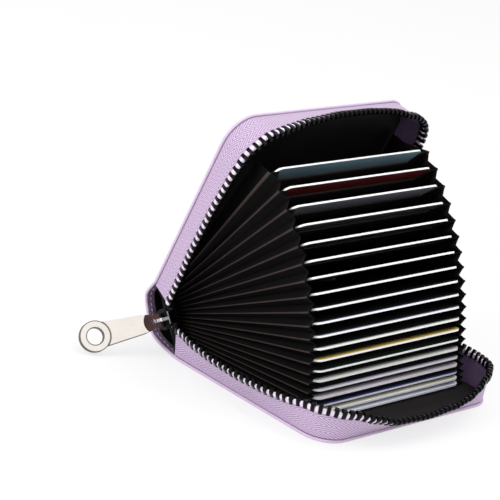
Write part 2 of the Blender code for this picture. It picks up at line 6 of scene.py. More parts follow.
import bmesh
import bpy
from mathutils import Matrix, Vector
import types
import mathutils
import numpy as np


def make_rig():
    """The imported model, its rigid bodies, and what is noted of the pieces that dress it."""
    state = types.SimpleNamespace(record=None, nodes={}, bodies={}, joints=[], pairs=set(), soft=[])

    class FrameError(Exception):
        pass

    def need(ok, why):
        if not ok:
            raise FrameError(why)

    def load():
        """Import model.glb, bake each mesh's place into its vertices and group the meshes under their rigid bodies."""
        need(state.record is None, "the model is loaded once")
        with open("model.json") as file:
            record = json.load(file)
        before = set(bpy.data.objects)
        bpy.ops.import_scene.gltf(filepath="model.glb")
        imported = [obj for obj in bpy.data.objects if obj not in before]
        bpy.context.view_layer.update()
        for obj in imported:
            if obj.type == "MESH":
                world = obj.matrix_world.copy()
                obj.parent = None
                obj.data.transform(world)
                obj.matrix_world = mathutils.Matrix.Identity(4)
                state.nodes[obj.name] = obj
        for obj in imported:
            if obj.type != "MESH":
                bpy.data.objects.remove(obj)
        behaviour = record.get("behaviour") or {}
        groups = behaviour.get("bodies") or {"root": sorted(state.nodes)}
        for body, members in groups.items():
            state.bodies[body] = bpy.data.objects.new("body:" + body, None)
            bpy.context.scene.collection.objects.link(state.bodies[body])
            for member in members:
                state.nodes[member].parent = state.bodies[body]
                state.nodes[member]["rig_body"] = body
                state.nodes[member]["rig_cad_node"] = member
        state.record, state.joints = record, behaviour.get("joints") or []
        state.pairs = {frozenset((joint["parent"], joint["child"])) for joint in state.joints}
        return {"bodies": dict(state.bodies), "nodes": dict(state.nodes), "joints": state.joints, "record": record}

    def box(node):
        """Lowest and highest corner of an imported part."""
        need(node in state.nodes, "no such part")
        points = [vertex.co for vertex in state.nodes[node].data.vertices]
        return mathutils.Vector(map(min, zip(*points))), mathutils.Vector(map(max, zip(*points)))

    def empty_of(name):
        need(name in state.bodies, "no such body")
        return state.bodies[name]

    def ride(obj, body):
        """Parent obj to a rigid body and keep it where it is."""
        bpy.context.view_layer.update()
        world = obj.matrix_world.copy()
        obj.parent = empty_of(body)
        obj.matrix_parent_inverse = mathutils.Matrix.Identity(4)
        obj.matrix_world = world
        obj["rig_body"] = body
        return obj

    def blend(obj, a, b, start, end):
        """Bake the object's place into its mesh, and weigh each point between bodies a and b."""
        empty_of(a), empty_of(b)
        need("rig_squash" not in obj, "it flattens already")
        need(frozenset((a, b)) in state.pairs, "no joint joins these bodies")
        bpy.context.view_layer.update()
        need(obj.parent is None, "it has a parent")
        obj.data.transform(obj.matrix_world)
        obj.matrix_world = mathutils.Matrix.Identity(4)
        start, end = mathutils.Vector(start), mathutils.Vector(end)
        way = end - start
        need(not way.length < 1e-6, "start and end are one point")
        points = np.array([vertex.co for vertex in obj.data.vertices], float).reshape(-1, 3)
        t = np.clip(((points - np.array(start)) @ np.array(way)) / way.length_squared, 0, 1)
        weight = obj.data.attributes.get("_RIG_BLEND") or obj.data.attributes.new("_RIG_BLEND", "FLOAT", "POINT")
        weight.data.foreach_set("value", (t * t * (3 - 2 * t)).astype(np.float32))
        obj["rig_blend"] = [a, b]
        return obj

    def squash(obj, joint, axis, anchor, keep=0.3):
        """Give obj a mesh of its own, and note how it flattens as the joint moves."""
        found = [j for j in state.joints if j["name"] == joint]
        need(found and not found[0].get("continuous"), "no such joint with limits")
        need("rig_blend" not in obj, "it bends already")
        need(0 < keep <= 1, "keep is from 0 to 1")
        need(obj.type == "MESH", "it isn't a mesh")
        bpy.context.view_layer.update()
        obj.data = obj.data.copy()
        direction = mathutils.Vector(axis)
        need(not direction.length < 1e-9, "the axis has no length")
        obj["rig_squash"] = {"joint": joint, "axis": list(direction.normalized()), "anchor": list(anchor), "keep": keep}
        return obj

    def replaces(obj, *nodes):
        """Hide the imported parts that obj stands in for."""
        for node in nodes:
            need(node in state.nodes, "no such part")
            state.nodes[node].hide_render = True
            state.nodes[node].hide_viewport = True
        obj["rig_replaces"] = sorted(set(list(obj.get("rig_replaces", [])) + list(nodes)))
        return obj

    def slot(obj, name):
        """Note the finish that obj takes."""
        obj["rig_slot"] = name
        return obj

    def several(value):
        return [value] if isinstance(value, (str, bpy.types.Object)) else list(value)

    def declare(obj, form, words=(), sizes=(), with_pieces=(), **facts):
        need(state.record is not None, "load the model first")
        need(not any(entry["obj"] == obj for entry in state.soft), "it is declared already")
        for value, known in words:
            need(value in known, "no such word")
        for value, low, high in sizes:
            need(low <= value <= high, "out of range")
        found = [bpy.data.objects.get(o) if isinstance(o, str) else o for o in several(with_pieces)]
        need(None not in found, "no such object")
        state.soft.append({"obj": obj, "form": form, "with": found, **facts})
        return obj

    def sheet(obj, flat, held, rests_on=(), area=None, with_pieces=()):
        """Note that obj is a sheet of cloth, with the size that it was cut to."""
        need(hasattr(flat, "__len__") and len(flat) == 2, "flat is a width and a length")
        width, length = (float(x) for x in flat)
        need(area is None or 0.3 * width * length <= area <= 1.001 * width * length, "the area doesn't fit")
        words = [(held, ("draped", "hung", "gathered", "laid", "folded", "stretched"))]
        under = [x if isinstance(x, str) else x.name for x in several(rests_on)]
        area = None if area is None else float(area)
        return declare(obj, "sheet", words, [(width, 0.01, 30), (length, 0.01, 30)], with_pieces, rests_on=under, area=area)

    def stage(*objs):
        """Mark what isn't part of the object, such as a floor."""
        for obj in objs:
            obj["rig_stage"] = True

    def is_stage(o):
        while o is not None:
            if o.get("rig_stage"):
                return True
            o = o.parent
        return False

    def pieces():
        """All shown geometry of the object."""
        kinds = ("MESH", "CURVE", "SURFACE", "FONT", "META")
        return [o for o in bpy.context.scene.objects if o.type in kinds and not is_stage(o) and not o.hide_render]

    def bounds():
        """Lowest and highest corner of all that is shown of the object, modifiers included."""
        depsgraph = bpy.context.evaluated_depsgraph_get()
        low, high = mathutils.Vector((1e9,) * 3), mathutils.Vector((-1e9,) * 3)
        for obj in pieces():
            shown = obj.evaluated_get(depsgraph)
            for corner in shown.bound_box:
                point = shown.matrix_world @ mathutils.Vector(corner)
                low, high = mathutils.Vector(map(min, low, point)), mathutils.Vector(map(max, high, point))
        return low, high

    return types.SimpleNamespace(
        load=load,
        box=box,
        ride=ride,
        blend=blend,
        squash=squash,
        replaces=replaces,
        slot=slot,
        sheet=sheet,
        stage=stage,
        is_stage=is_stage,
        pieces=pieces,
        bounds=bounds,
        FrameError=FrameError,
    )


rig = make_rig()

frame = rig.load()

bl_info = {
    "name": "Zip card wallet looks",
    "version": (1, 0, 0),
    "blender": (4, 5, 0),
    "location": "View3D > Sidebar > Wallet",
    "description": "Dresses the zip card wallet in leather, cloth, metal and cards",
    "category": "Object",
}

CAD_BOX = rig.bounds()
JOINTS = {joint["name"]: joint for joint in frame["joints"]}
RATIOS = {pair["joint"]: pair["ratio"] for pair in frame["record"]["behaviour"]["couplings"]}
MM = 0.001

# Places of the folds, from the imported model.
BACK_CREASE = Vector(JOINTS["spine_fold"]["pos_m"])
FRONT_CREASE = Vector(JOINTS["front_cover_fold"]["pos_m"])
SPINE_LINE = FRONT_CREASE - BACK_CREASE
THICKNESS = SPINE_LINE.length
HALF_FOLD = math.atan2(-SPINE_LINE.x, SPINE_LINE.z)
COVER_LOW, COVER_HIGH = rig.box("back_cover_leather")
WIDTH = COVER_HIGH.x - BACK_CREASE.x
LENGTH = COVER_HIGH.y - COVER_LOW.y
CORNER = 11.5 * MM
LEATHER = COVER_HIGH.z - COVER_LOW.z
CARD_COUNT = 20

# Zip track: its tape's middle line, inside the cover's edge.
TRACK_INSET = 0.8 * MM
TRACK_START = 3.5 * MM
TAPE_FOOT = 1.15 * MM
TAPE_TALL = 11.85 * MM
TAPE_HALF = 0.25 * MM
BEAD_FOOT = 10.2 * MM
RIB_SLANT = math.radians(27)
TAPE_LEAD = 3.2 * MM
TAPE_STEP = 1.2 * MM
LEAN_STEPS = 6
LEAN_SPREAD = 0.15
SQUASH_KEEP = 0.35
CORNER_PIECES = 3

# The tape's section: how far up it the inner points lie, as shares, and its bead, across and up, in mm.
TAPE_RISE_SHARES = (0.0, 0.12, 0.25, 0.4, 0.55, 0.7, 0.83, 0.93)
BEAD = ((-0.50, 11.4), (-0.55, 11.8), (-0.35, 12.2), (0.0, 12.35), (0.45, 12.2), (0.72, 11.8), (0.75, 11.1),
        (0.60, 10.4))

# How far each tape leans out along its track: distance in mm, lean in degrees.
BACK_LEAN = ((-3.2, 14), (0, 17), (8, 27), (20, 34), (32, 36), (44, 33), (54, 25), (62, 12), (69, 9),
             (76, 16), (84, 35), (94, 49), (112, 52), (128, 48), (138, 41), (146, 30), (154, 13), (162, 0),
             (170, 4), (180, 18), (200, 28), (215, 24), (228, 8), (238, 4))
FRONT_LEAN = ((-3.2, 18), (0, 18), (8, 19), (20, 22), (40, 20), (54, 14), (62, 7), (69, 1), (76, 5), (84, 14),
              (94, 22), (112, 29), (128, 29), (138, 26), (146, 22), (154, 12), (162, 6), (170, 8), (180, 15),
              (200, 20), (215, 15), (228, 6), (238, 4))

# Teeth: outline across the tape, and up it, in mm.
TOOTH_PITCH = 2.7 * MM
TOOTH_LENGTH = 1.15 * MM
TOOTH_HALF = ((1.12, 10.35), (1.15, 12.4), (1.02, 13.2), (0.6, 13.65), (0.0, 13.7))
TOOTH_INNER = ((1.0, 10.2), (0.5, 10.2), (0.36, 10.4), (0.34, 11.95), (0.0, 12.0))
TOOTH_MIDDLE = 11.9 * MM
TOOTH_RINGS = ((-0.5, 0.88), (-0.42, 1.0), (0.42, 1.0), (0.5, 0.88))

# Where the sheets turn from the covers to the spine: outside points, out of the spine and up it, in mm.
COVER_JOIN = 9.0 * MM
TURN = 1.4 * MM
SPINE_ROUND = ((2.0, 2.7), (5.3, 6.6), (7.7, 10.6), (7.9, 14.6), (7.1, 19.2), (6.3, 23.9), (4.9, 27.0))
SPINE_FLAT = ((0.0, 3.0), (0.0, 10.0), (0.0, 18.5), (0.0, 25.5))
CORNER_STEPS = 14
STITCH_INSET = 2.3 * MM
STITCH_SINK = 0.1 * MM
STITCH_RADIUS = 0.24 * MM

# The leather's rings, from its inner face round the cut edge to the stitched groove: inset and depth, in mm.
LEATHER_RINGS = ((7.0, 1.10), (4.4, 1.10), (4.3, 1.14), (4.1, 1.16), (0.50, 1.10), (0.16, 1.02), (0.0, 0.80),
                 (0.0, 0.45), (0.10, 0.18), (0.35, 0.04), (0.8, 0.0), (1.7, 0.0), (2.0, 0.07), (2.2, 0.2),
                 (2.4, 0.2), (2.6, 0.07), (2.9, 0.0), (7.0, 0.0))
# The finish of the strip above each ring: 1 edge paint, 2 lining, 3 the turned hem, which is leather darkened as
# painted shade. The rest is leather.
LEATHER_PAINT = {0: 2, 1: 2, 2: 3, 3: 3, 4: 1, 5: 1, 6: 1, 7: 1}
LINING_RINGS = ((7.0, 2.12), (1.7, 2.12), (1.45, 2.25), (1.7, 2.38), (7.0, 2.40))
LINING_DRAWN_IN = 1.0 * MM

# Along one stitch: share of its length, thickness, lift in radii, and 1 where it goes into its hole, which takes
# painted shade.
STITCH_SHAPE = ((0.0, 0.5, -0.7, 1.0), (0.13, 0.9, -0.25, 1.0), (0.22, 0.9, 0.0, 0.0), (0.5, 1.0, 0.35, 0.0),
                (0.78, 0.9, 0.0, 0.0), (0.87, 0.9, -0.25, 1.0), (1.0, 0.5, -0.7, 1.0))
STITCH_SIDES = 6

# Pockets: sizes along and across a wall.
WALL_HALF = 44.6 * MM
WALL_LIP = 0.6 * MM
TAB_HALF = 41.2 * MM
MOUTH_HALF = 38.0 * MM
MOUTH_SHORT = 6.0 * MM
TAB_SHORT = 1.0 * MM
FOLD_START = 1.2 * MM
FOLD_SHORT = 0.8 * MM
FOLD_TIP = 46.4 * MM
ROOT_VALLEY = 45.2 * MM
MOUTH_VALLEY = 43.1 * MM
CLOTH_THICK = 0.15 * MM
FOLD_ROWS = 14
FOLD_RIPPLE = 0.25 * MM
GUSSET_CUT = 7.5 * MM

# Across a gusset strip: share of the way from crest to crest, and how proud of the crest it lies, in mm.
GUSSET_SHAPE = ((0.0, 0.0), (0.035, 0.08), (0.10, None), (0.28, None), (0.46, None), (0.5, None),
                (0.54, None), (0.72, None), (0.90, None), (0.965, 0.08), (1.0, 0.0))

# Where the last gusset is sewn to the front cover's lining.
FRONT_SEAM_DEPTH = 2.9 * MM
FRONT_SEAM_START = 3.7 * MM
FRONT_SEAM_SHORT = 6.2 * MM

# The hem of a mouth: out from the mouth and up from the wall, in mm, and its crease mark.
HEM_SHAPE = ((-1.8, -0.05, 0.35), (-1.6, -0.13, 0.6), (-0.1, -0.15, 0.9), (0.12, -0.08, 0.9))

# The web's rib at each pocket: how far it stands off the spine, and along it, in mm.
WEB_INSET = 4.0 * MM
WEB_RIB = ((2.65, -0.45), (2.95, -0.2), (3.05, 0.0), (2.95, 0.2), (2.65, 0.45))

# Sleeves: the pockets' upper walls. Most end a little short of the wall, and those on wide card faces more.
SLEEVE_HALF = 43.3 * MM
SLEEVE_LIFT = 0.98 * MM
SLEEVE_ROOT = 8.0 * MM
SLEEVE_SHORT = 1.5 * MM
SLEEVES_SHORTER = {0: 9.0 * MM, 1: 4.0 * MM, 3: 3.4 * MM, 5: 2.8 * MM, 7: 3.4 * MM}

# Tape ends: into the wallet, along the spine and below its middle, in mm.
END_ROOT = (2.7, -50.0, 1.6)
END_MOUTH = (7.6, -53.4, 2.0)
END_TAIL = (2.4, -53.4, 0.95)
END_RINGS = 8
END_THICK = 0.18 * MM
END_SAG = 0.8 * MM
END_TOOTH_SHARE = 0.28

# The studio: each lamp's name, place, width and power, and the camera of the photo.
LAMPS = (("key", (-0.25, -0.90, 0.62), 0.55, 5.0), ("fill", (0.75, -0.45, 0.70), 0.60, 1.8),
         ("top", (0.05, 0.25, 0.95), 0.60, 3.8))
LAMP_AIM = Vector((0.0, 0.0, 0.04))
WORLD_STRENGTH = 0.7
FLOOR_DROP = 0.05 * MM
FLOOR_GLOW = 0.72
CAMERA_PLACE = (0.4795, -0.6831, 0.3398)
CAMERA_WAY = (-0.5802, 0.7419, -0.3361)
CAMERA_UP = (-0.3886, 0.1105, 0.9148)
CAMERA_LENS = 172.8


def linear(colour):
    """Turns a colour as the screen shows it into the light that a shader takes."""
    return tuple(c / 12.92 if c <= 0.04045 else ((c + 0.055) / 1.055) ** 2.4 for c in colour)


class WalletSizes(bpy.types.PropertyGroup):
    """Sizes of the wallet's finish."""

    grain: bpy.props.FloatProperty(name="Grain", description="Width of one pebble of the leather",
                                   default=2.2 * MM, unit="LENGTH", subtype="DISTANCE")
    grain_depth: bpy.props.FloatProperty(name="Grain depth", description="Height of the pebbles",
                                         default=0.16 * MM, unit="LENGTH", subtype="DISTANCE")
    stitch: bpy.props.FloatProperty(name="Stitch", description="Length of one stitch",
                                    default=1.9 * MM, unit="LENGTH", subtype="DISTANCE")
    stitch_pitch: bpy.props.FloatProperty(name="Stitch pitch", description="From one stitch to the next",
                                          default=2.1 * MM, unit="LENGTH", subtype="DISTANCE")
    twill: bpy.props.FloatProperty(name="Twill", description="Distance between two ribs of the tape",
                                   default=0.76 * MM, unit="LENGTH", subtype="DISTANCE")
    herringbone: bpy.props.FloatProperty(name="Herringbone", description="Width of one stripe of ribs",
                                         default=2.8 * MM, unit="LENGTH", subtype="DISTANCE")


class WalletColours(bpy.types.PropertyGroup):
    """Colours of the wallet's materials."""

    leather: bpy.props.FloatVectorProperty(name="Leather", description="Pebbled leather", size=3,
                                           default=linear((0.82, 0.69, 0.86)), subtype="COLOR")
    tape: bpy.props.FloatVectorProperty(name="Tape", description="Outside of the zip tape", size=3,
                                        default=linear((0.815, 0.715, 0.85)), subtype="COLOR")
    # Painted shade: the tape's inside is a darker purple than its outside, as it lies in shadow.
    tape_inside: bpy.props.FloatVectorProperty(name="Tape inside", description="Inside of the zip tape",
                                               size=3, default=linear((0.36, 0.25, 0.42)), subtype="COLOR")
    thread: bpy.props.FloatVectorProperty(name="Thread", description="Sewing thread", size=3,
                                          default=linear((0.78, 0.64, 0.82)), subtype="COLOR")
    cloth: bpy.props.FloatVectorProperty(name="Pocket cloth", description="Accordion cloth", size=3,
                                         default=linear((0.055, 0.045, 0.045)), subtype="COLOR")
    # Paler cloth along the folds, partly wear and partly a painted highlight.
    crease: bpy.props.FloatVectorProperty(name="Crease", description="Pocket cloth along its folds", size=3,
                                          default=linear((0.25, 0.215, 0.21)), subtype="COLOR")
    teeth: bpy.props.FloatVectorProperty(name="Teeth", description="Dark plated metal", size=3,
                                         default=linear((0.13, 0.125, 0.135)), subtype="COLOR")
    nickel: bpy.props.FloatVectorProperty(name="Puller", description="Brushed pale metal", size=3,
                                          default=linear((0.80, 0.78, 0.755)), subtype="COLOR")


class Place:
    """A flat frame turned about the wallet's spine line: u into the cover, y along the spine, w out of it."""

    def __init__(self, origin, angle):
        self.origin = Vector(origin)
        self.angle = angle
        self.u = Vector((math.cos(angle), 0.0, math.sin(angle)))
        self.w = Vector((-math.sin(angle), 0.0, math.cos(angle)))

    def at(self, u, y, w):
        return self.origin + self.u * u + self.w * w + Vector((0.0, y, 0.0))


BACK = Place(BACK_CREASE, 0.0)
SPINE = Place(BACK_CREASE, HALF_FOLD)
FRONT = Place(FRONT_CREASE, 2 * HALF_FOLD)


def pocket(row):
    """A pocket's name. Row 0 is the lowest, which has the last number."""
    return f"pocket_{CARD_COUNT - row:02d}"


def turn_ratio(row):
    """How far a pocket turns for each degree that the spine turns."""
    return RATIOS[pocket(row) + "_fold"]


def leaf_place(row):
    """The frame of a pocket's wall."""
    return Place(JOINTS[pocket(row) + "_fold"]["pos_m"], HALF_FOLD * (1 + turn_ratio(row)))


def in_metres(pairs):
    """Pairs of numbers that are given in mm."""
    return [(first * MM, second * MM) for first, second in pairs]


def spread(low, high, count):
    """Evenly spaced numbers from low to high."""
    return [low + (high - low) * i / count for i in range(count + 1)]


LEAVES = [leaf_place(row) for row in range(CARD_COUNT)]
REACHES = [63.0 * MM + 6.0 * MM * (row / (CARD_COUNT - 1)) ** 2 for row in range(CARD_COUNT)]


class Term:
    """A number inside a material, written in plain sums."""

    def __init__(self, finish, socket):
        self.finish = finish
        self.socket = socket

    def math(self, operation, first, second=None):
        inputs = {0: first} if second is None else {0: first, 1: second}
        made = self.finish.add("ShaderNodeMath", {"operation": operation}, inputs)
        return Term(self.finish, made.outputs[0])

    def __add__(self, other):
        return self.math("ADD", self, other)

    __radd__ = __add__

    def __sub__(self, other):
        return self.math("SUBTRACT", self, other)

    def __rsub__(self, other):
        return self.math("SUBTRACT", other, self)

    def __mul__(self, other):
        return self.math("MULTIPLY", self, other)

    __rmul__ = __mul__

    def __truediv__(self, other):
        return self.math("DIVIDE", self, other)

    def __rtruediv__(self, other):
        return self.math("DIVIDE", other, self)

    def __pow__(self, other):
        return self.math("POWER", self, other)

    def __rpow__(self, other):
        return self.math("POWER", other, self)

    def part(self):
        return self.math("FRACT", self)

    def size(self):
        return self.math("ABSOLUTE", self)

    def wave(self):
        return self.math("SINE", self)

    def back_and_forth(self, width):
        return self.math("PINGPONG", self, width)

    def stripe(self, width):
        """Falls from a half to 0 and rises back once in each width."""
        return ((self / width).part() - 0.5).size()

    def ramp(self, low, high):
        """Goes smoothly from 0 at low to 1 at high."""
        made = self.finish.add("ShaderNodeMapRange", {"interpolation_type": "SMOOTHSTEP"},
                               {"Value": self, "From Min": low, "From Max": high})
        return Term(self.finish, made.outputs["Result"])

    def fall(self, low, high):
        """Goes smoothly from 1 at low to 0 at high."""
        return 1 - self.ramp(low, high)

    def band(self, low, low_end, high, high_end):
        """Rises between the first two numbers and falls between the last two."""
        return self.ramp(low, low_end) * self.fall(high, high_end)


class Nodes:
    """A node tree, with one way to add a node and one to feed a socket."""

    def __init__(self, tree):
        self.tree = tree

    def join(self, socket, value):
        if isinstance(value, Term):
            value = value.socket
        if isinstance(value, bpy.types.NodeSocket):
            self.tree.links.new(value, socket)
        else:
            socket.default_value = value

    def add(self, kind, settings=None, inputs=None):
        made = self.tree.nodes.new(kind)
        for key, value in (settings or {}).items():
            setattr(made, key, value)
        for key, value in (inputs or {}).items():
            self.join(made.inputs[key], value)
        return made


class Finish(Nodes):
    """A material made of nodes round one Principled shader."""

    def __init__(self, name, colour, roughness, **fixed):
        self.material = bpy.data.materials.new(name)
        self.material.use_nodes = True
        super().__init__(self.material.node_tree)
        self.shader = self.tree.nodes["Principled BSDF"]
        self.set("Base Color", (*colour, 1.0))
        self.set("Roughness", roughness)
        for socket, value in fixed.items():
            self.set(socket.replace("_", " ").title().replace("Ior", "IOR"), value)

    def set(self, socket, value):
        self.join(self.shader.inputs[socket], value)

    def mix(self, share, low, high):
        """A colour between two colours."""
        pair = [(*c, 1.0) if isinstance(c, tuple) else c for c in (low, high)]
        made = self.add("ShaderNodeMix", {"data_type": "RGBA"}, {0: share, 6: pair[0], 7: pair[1]})
        return made.outputs[2]

    def place(self, output="Object"):
        """Where the surface is, or with Normal the way that it faces, both as at rest."""
        return self.add("ShaderNodeTexCoord").outputs[output]

    def apart(self, vector):
        """The three numbers of a vector."""
        made = self.add("ShaderNodeSeparateXYZ", None, {0: vector})
        return [Term(self, made.outputs[i]) for i in range(3)]

    def noise(self, size, detail=2.0, vector=None, stretch=None):
        """Cloudy noise, its patches about that size."""
        vector = self.place() if vector is None else vector
        if stretch:
            vector = self.scaled(vector, stretch)
        made = self.add("ShaderNodeTexNoise", None, {"Vector": vector, "Scale": 1 / size, "Detail": detail})
        return Term(self, made.outputs["Fac"])

    def scaled(self, vector, factors):
        made = self.add("ShaderNodeVectorMath", {"operation": "MULTIPLY"}, {0: vector, 1: factors})
        return made.outputs[0]

    def map(self, name="weave"):
        """Distance along and up a strip, kept in its UV map."""
        made = self.add("ShaderNodeUVMap", {"uv_map": name})
        return self.apart(made.outputs["UV"])

    def mark(self, name):
        """A number kept on the mesh's corners."""
        made = self.add("ShaderNodeAttribute", {"attribute_name": name})
        return Term(self, made.outputs["Fac"])

    def dot(self, vector, way):
        """How far a vector goes along a way."""
        made = self.add("ShaderNodeVectorMath", {"operation": "DOT_PRODUCT"}, {0: vector, 1: tuple(way)})
        return Term(self, made.outputs["Value"])

    def bump(self, height, distance, strength=1.0):
        made = self.add("ShaderNodeBump", None,
                        {"Strength": strength, "Distance": distance, "Height": height})
        self.set("Normal", made.outputs["Normal"])


def sizes():
    return bpy.context.scene.wallet_sizes


def colour(name):
    return tuple(getattr(bpy.context.scene.wallet_colours, name))


def shade(base, factor):
    """The colour made darker or lighter."""
    return tuple(min(1.0, c * factor) for c in base)


def leather_finish(name, base):
    """Pebbled leather: rounded grain with dark creases between the pebbles."""
    made = Finish(name, base, 0.42, coat_weight=0.25, coat_roughness=0.30, sheen_weight=0.1)
    grain = sizes().grain
    place = made.place()
    drift = made.add("ShaderNodeTexNoise", None, {"Vector": place, "Scale": 0.45 / grain, "Detail": 2.0})
    moved = made.add("ShaderNodeVectorMath", {"operation": "MULTIPLY_ADD"},
                     {0: drift.outputs["Color"], 1: (grain,) * 3, 2: place}).outputs[0]
    cells = made.add("ShaderNodeTexVoronoi", {"feature": "DISTANCE_TO_EDGE"},
                     {"Vector": moved, "Scale": 1 / grain})
    from_crease = Term(made, cells.outputs["Distance"])
    dome = from_crease.ramp(0.0, 0.14) * 0.65 + from_crease.ramp(0.10, 0.40) * 0.35
    small = made.noise(grain * 0.35, 3.0)
    tone = made.noise(9 * MM, 2.0)
    creased = made.mix(dome.ramp(0.0, 0.75), shade(base, 0.60), shade(base, 1.02))
    made.set("Base Color", made.mix(tone.ramp(0.3, 0.7) * 0.25, creased, shade(base, 0.86)))
    made.set("Roughness", 0.48 - dome * 0.14 + small * 0.08)
    made.bump(dome * 0.85 + small * 0.15, sizes().grain_depth, 0.9)
    return made.material


def edge_finish():
    """Painted cut edge of the leather."""
    base = colour("leather")
    made = Finish("lilac_edge_paint", shade(base, 0.7), 0.45)
    streak = made.noise(0.5 * MM, 3.0, stretch=(0.15, 0.15, 2.0))
    made.set("Base Color", made.mix(streak, made.mix(0.4, shade(base, 0.80), (0.62, 0.55, 0.62)),
                                    made.mix(0.4, shade(base, 1.1), (0.80, 0.74, 0.80))))
    made.bump(streak, 0.06 * MM, 0.5)
    return made.material


def tape_finish(name, base, bead):
    """Herringbone twill, with painted shade at its sewn foot and the smooth bead along the free edge in its own colour,
    which on the outside is a painted highlight.
    """
    made = Finish(name, base, 0.62, sheen_weight=0.2, sheen_roughness=0.4)
    twill = sizes().twill
    along, up, _ = made.map()
    zigzag = along * math.sin(RIB_SLANT) + up.back_and_forth(sizes().herringbone) * math.cos(RIB_SLANT)
    rib = zigzag.stripe(twill) * 2
    thread = along.stripe(twill * 0.6) * 2
    between = made.mix(0.35, shade(base, 0.45), (0.18, 0.14, 0.19))
    ribs = made.mix(rib.ramp(0.05, 0.75), between, shade(base, 1.08))
    plain = made.mix(made.noise(3 * MM, 3.0) * 0.2, ribs, shade(base, 0.85))
    # Painted shade: the twill darkens at its foot, where the tape meets the leather.
    plain = made.mix(up.ramp(0.25 * MM, 0.6 * MM), shade(base, 0.30), plain)
    # The bead takes its own colour, which on the outside is a painted highlight where it catches the light.
    made.set("Base Color", made.mix(up.ramp(BEAD_FOOT, BEAD_FOOT + 0.3 * MM), plain, bead))
    made.set("Roughness", 0.70 - rib * 0.16)
    made.bump(rib * 0.85 + thread * 0.15, 0.16 * MM, 0.9)
    return made.material


def plain_weave(made, width):
    """Threads that cross at right angles."""
    x, y, z = made.apart(made.place())
    return y.stripe(width) + (x + z).stripe(width)


def cloth_finish():
    """Thin black cloth, paler along the creases, partly as wear and partly as a painted highlight where the folds catch
    the light.
    """
    base = colour("cloth")
    made = Finish("black_accordion_cloth", base, 0.7, specular_ior_level=0.12)
    crease = made.mark("crease")
    weave = plain_weave(made, 0.32 * MM)
    soft = made.noise(6 * MM, 2.0)
    body = made.mix(soft * 0.6 + weave * 0.2, shade(base, 0.45), shade(base, 1.0))
    # Along the crease marks the cloth is paler: wear, and a painted highlight on the folds.
    made.set("Base Color", made.mix(crease.ramp(0.45, 1.0), body, colour("crease")))
    made.set("Roughness", 0.74 - crease * 0.2 + weave * 0.05)
    made.bump(weave, 0.05 * MM, 0.5)
    return made.material


def lining_finish():
    """Black lining cloth, a little uneven in tone."""
    base = colour("cloth")
    made = Finish("black_twill_lining", base, 0.7, specular_ior_level=0.12)
    weave = plain_weave(made, 0.4 * MM)
    made.set("Base Color", made.mix(made.noise(12 * MM, 3.0), shade(base, 0.9), shade(base, 2.2)))
    made.set("Roughness", 0.55 + weave * 0.15)
    made.bump(weave, 0.05 * MM, 0.4)
    return made.material


def metal_finish(name, base, roughness):
    """Plated metal with fine polishing marks and clouds of darker and lighter tone."""
    made = Finish(name, base, roughness, metallic=1.0)
    fine = made.noise(0.25 * MM, 4.0)
    cloud = made.noise(2.5 * MM, 3.0)
    made.set("Roughness", roughness + fine * 0.12 + cloud * 0.08 - 0.08)
    made.set("Base Color", made.mix(cloud, shade(base, 0.78), shade(base, 1.12)))
    made.bump(fine, 0.01 * MM, 0.5)
    return made.material


def thread_finish():
    """Twisted sewing thread, with painted shade where it goes into its hole."""
    base = colour("thread")
    made = Finish("sewing_thread", base, 0.6, sheen_weight=0.3)
    x, y, z = made.apart(made.place())
    twist = (x + y + z).stripe(0.3 * MM) * 2
    strand = made.mix(twist, shade(base, 0.6), shade(base, 1.15))
    # Painted shade: the thread darkens where it sinks into its needle hole.
    made.set("Base Color", made.mix(made.mark("hole").ramp(0.3, 0.7), strand, shade(base, 0.10)))
    made.bump(twist, 0.04 * MM, 0.8)
    return made.material


def new_piece(name, built, *finishes):
    """An object from a finished mesh, shaded smooth."""
    bmesh.ops.remove_doubles(built, verts=built.verts, dist=1e-7)
    bmesh.ops.recalc_face_normals(built, faces=built.faces)
    mesh = bpy.data.meshes.new(name)
    built.to_mesh(mesh)
    built.free()
    made = bpy.data.objects.new(name, mesh)
    bpy.context.scene.collection.objects.link(made)
    for finish in finishes:
        mesh.materials.append(finish)
    mesh.shade_smooth()
    return made


def once(name, make):
    """A material that several pieces share."""
    return bpy.data.materials.get(name) or make()


def leather():
    return once("lilac_pebbled_leather", lambda: leather_finish("lilac_pebbled_leather", colour("leather")))


def black_cloth():
    return once("black_accordion_cloth", cloth_finish)


def dark_metal():
    return once("dark_teeth_metal", lambda: metal_finish("dark_teeth_metal", colour("teeth"), 0.28))


def loft(built, rings):
    """A closed skin over rings of corners. Gives the faces of each step, and the two ends."""
    count = len(rings[0])
    steps = []
    for low, high in zip(rings, rings[1:]):
        steps.append([built.faces.new((low[i], low[(i + 1) % count], high[(i + 1) % count], high[i]))
                      for i in range(count)])
    return steps, [built.faces.new(rings[0]), built.faces.new(rings[-1])]


def eased(points, rounds=2):
    """Cuts the corners off a line of points until it runs smoothly."""
    for _ in range(rounds):
        cut = [points[0]]
        for a, b in zip(points, points[1:]):
            cut += [a.lerp(b, 0.25), a.lerp(b, 0.75)]
        points = cut + [points[-1]]
    return points


def round_spine(stops):
    """A smooth line from the back cover round the spine to the front cover, with its ways inwards."""
    start = [BACK.at(COVER_JOIN * k, 0.0, 0.0) for k in (1.0, 0.7, 0.4)] + [BACK.at(TURN, 0.0, 0.0)]
    end = [FRONT.at(TURN, 0.0, 0.0)] + [FRONT.at(COVER_JOIN * k, 0.0, 0.0) for k in (0.4, 0.7, 1.0)]
    line = eased(start + [SPINE.at(-out * MM, 0.0, up * MM) for out, up in stops] + end)
    inward = []
    for i in range(len(line)):
        way = (line[min(i + 1, len(line) - 1)] - line[max(i - 1, 0)]).normalized()
        inward.append(Vector((way.z, 0.0, -way.x)))
    return line, inward


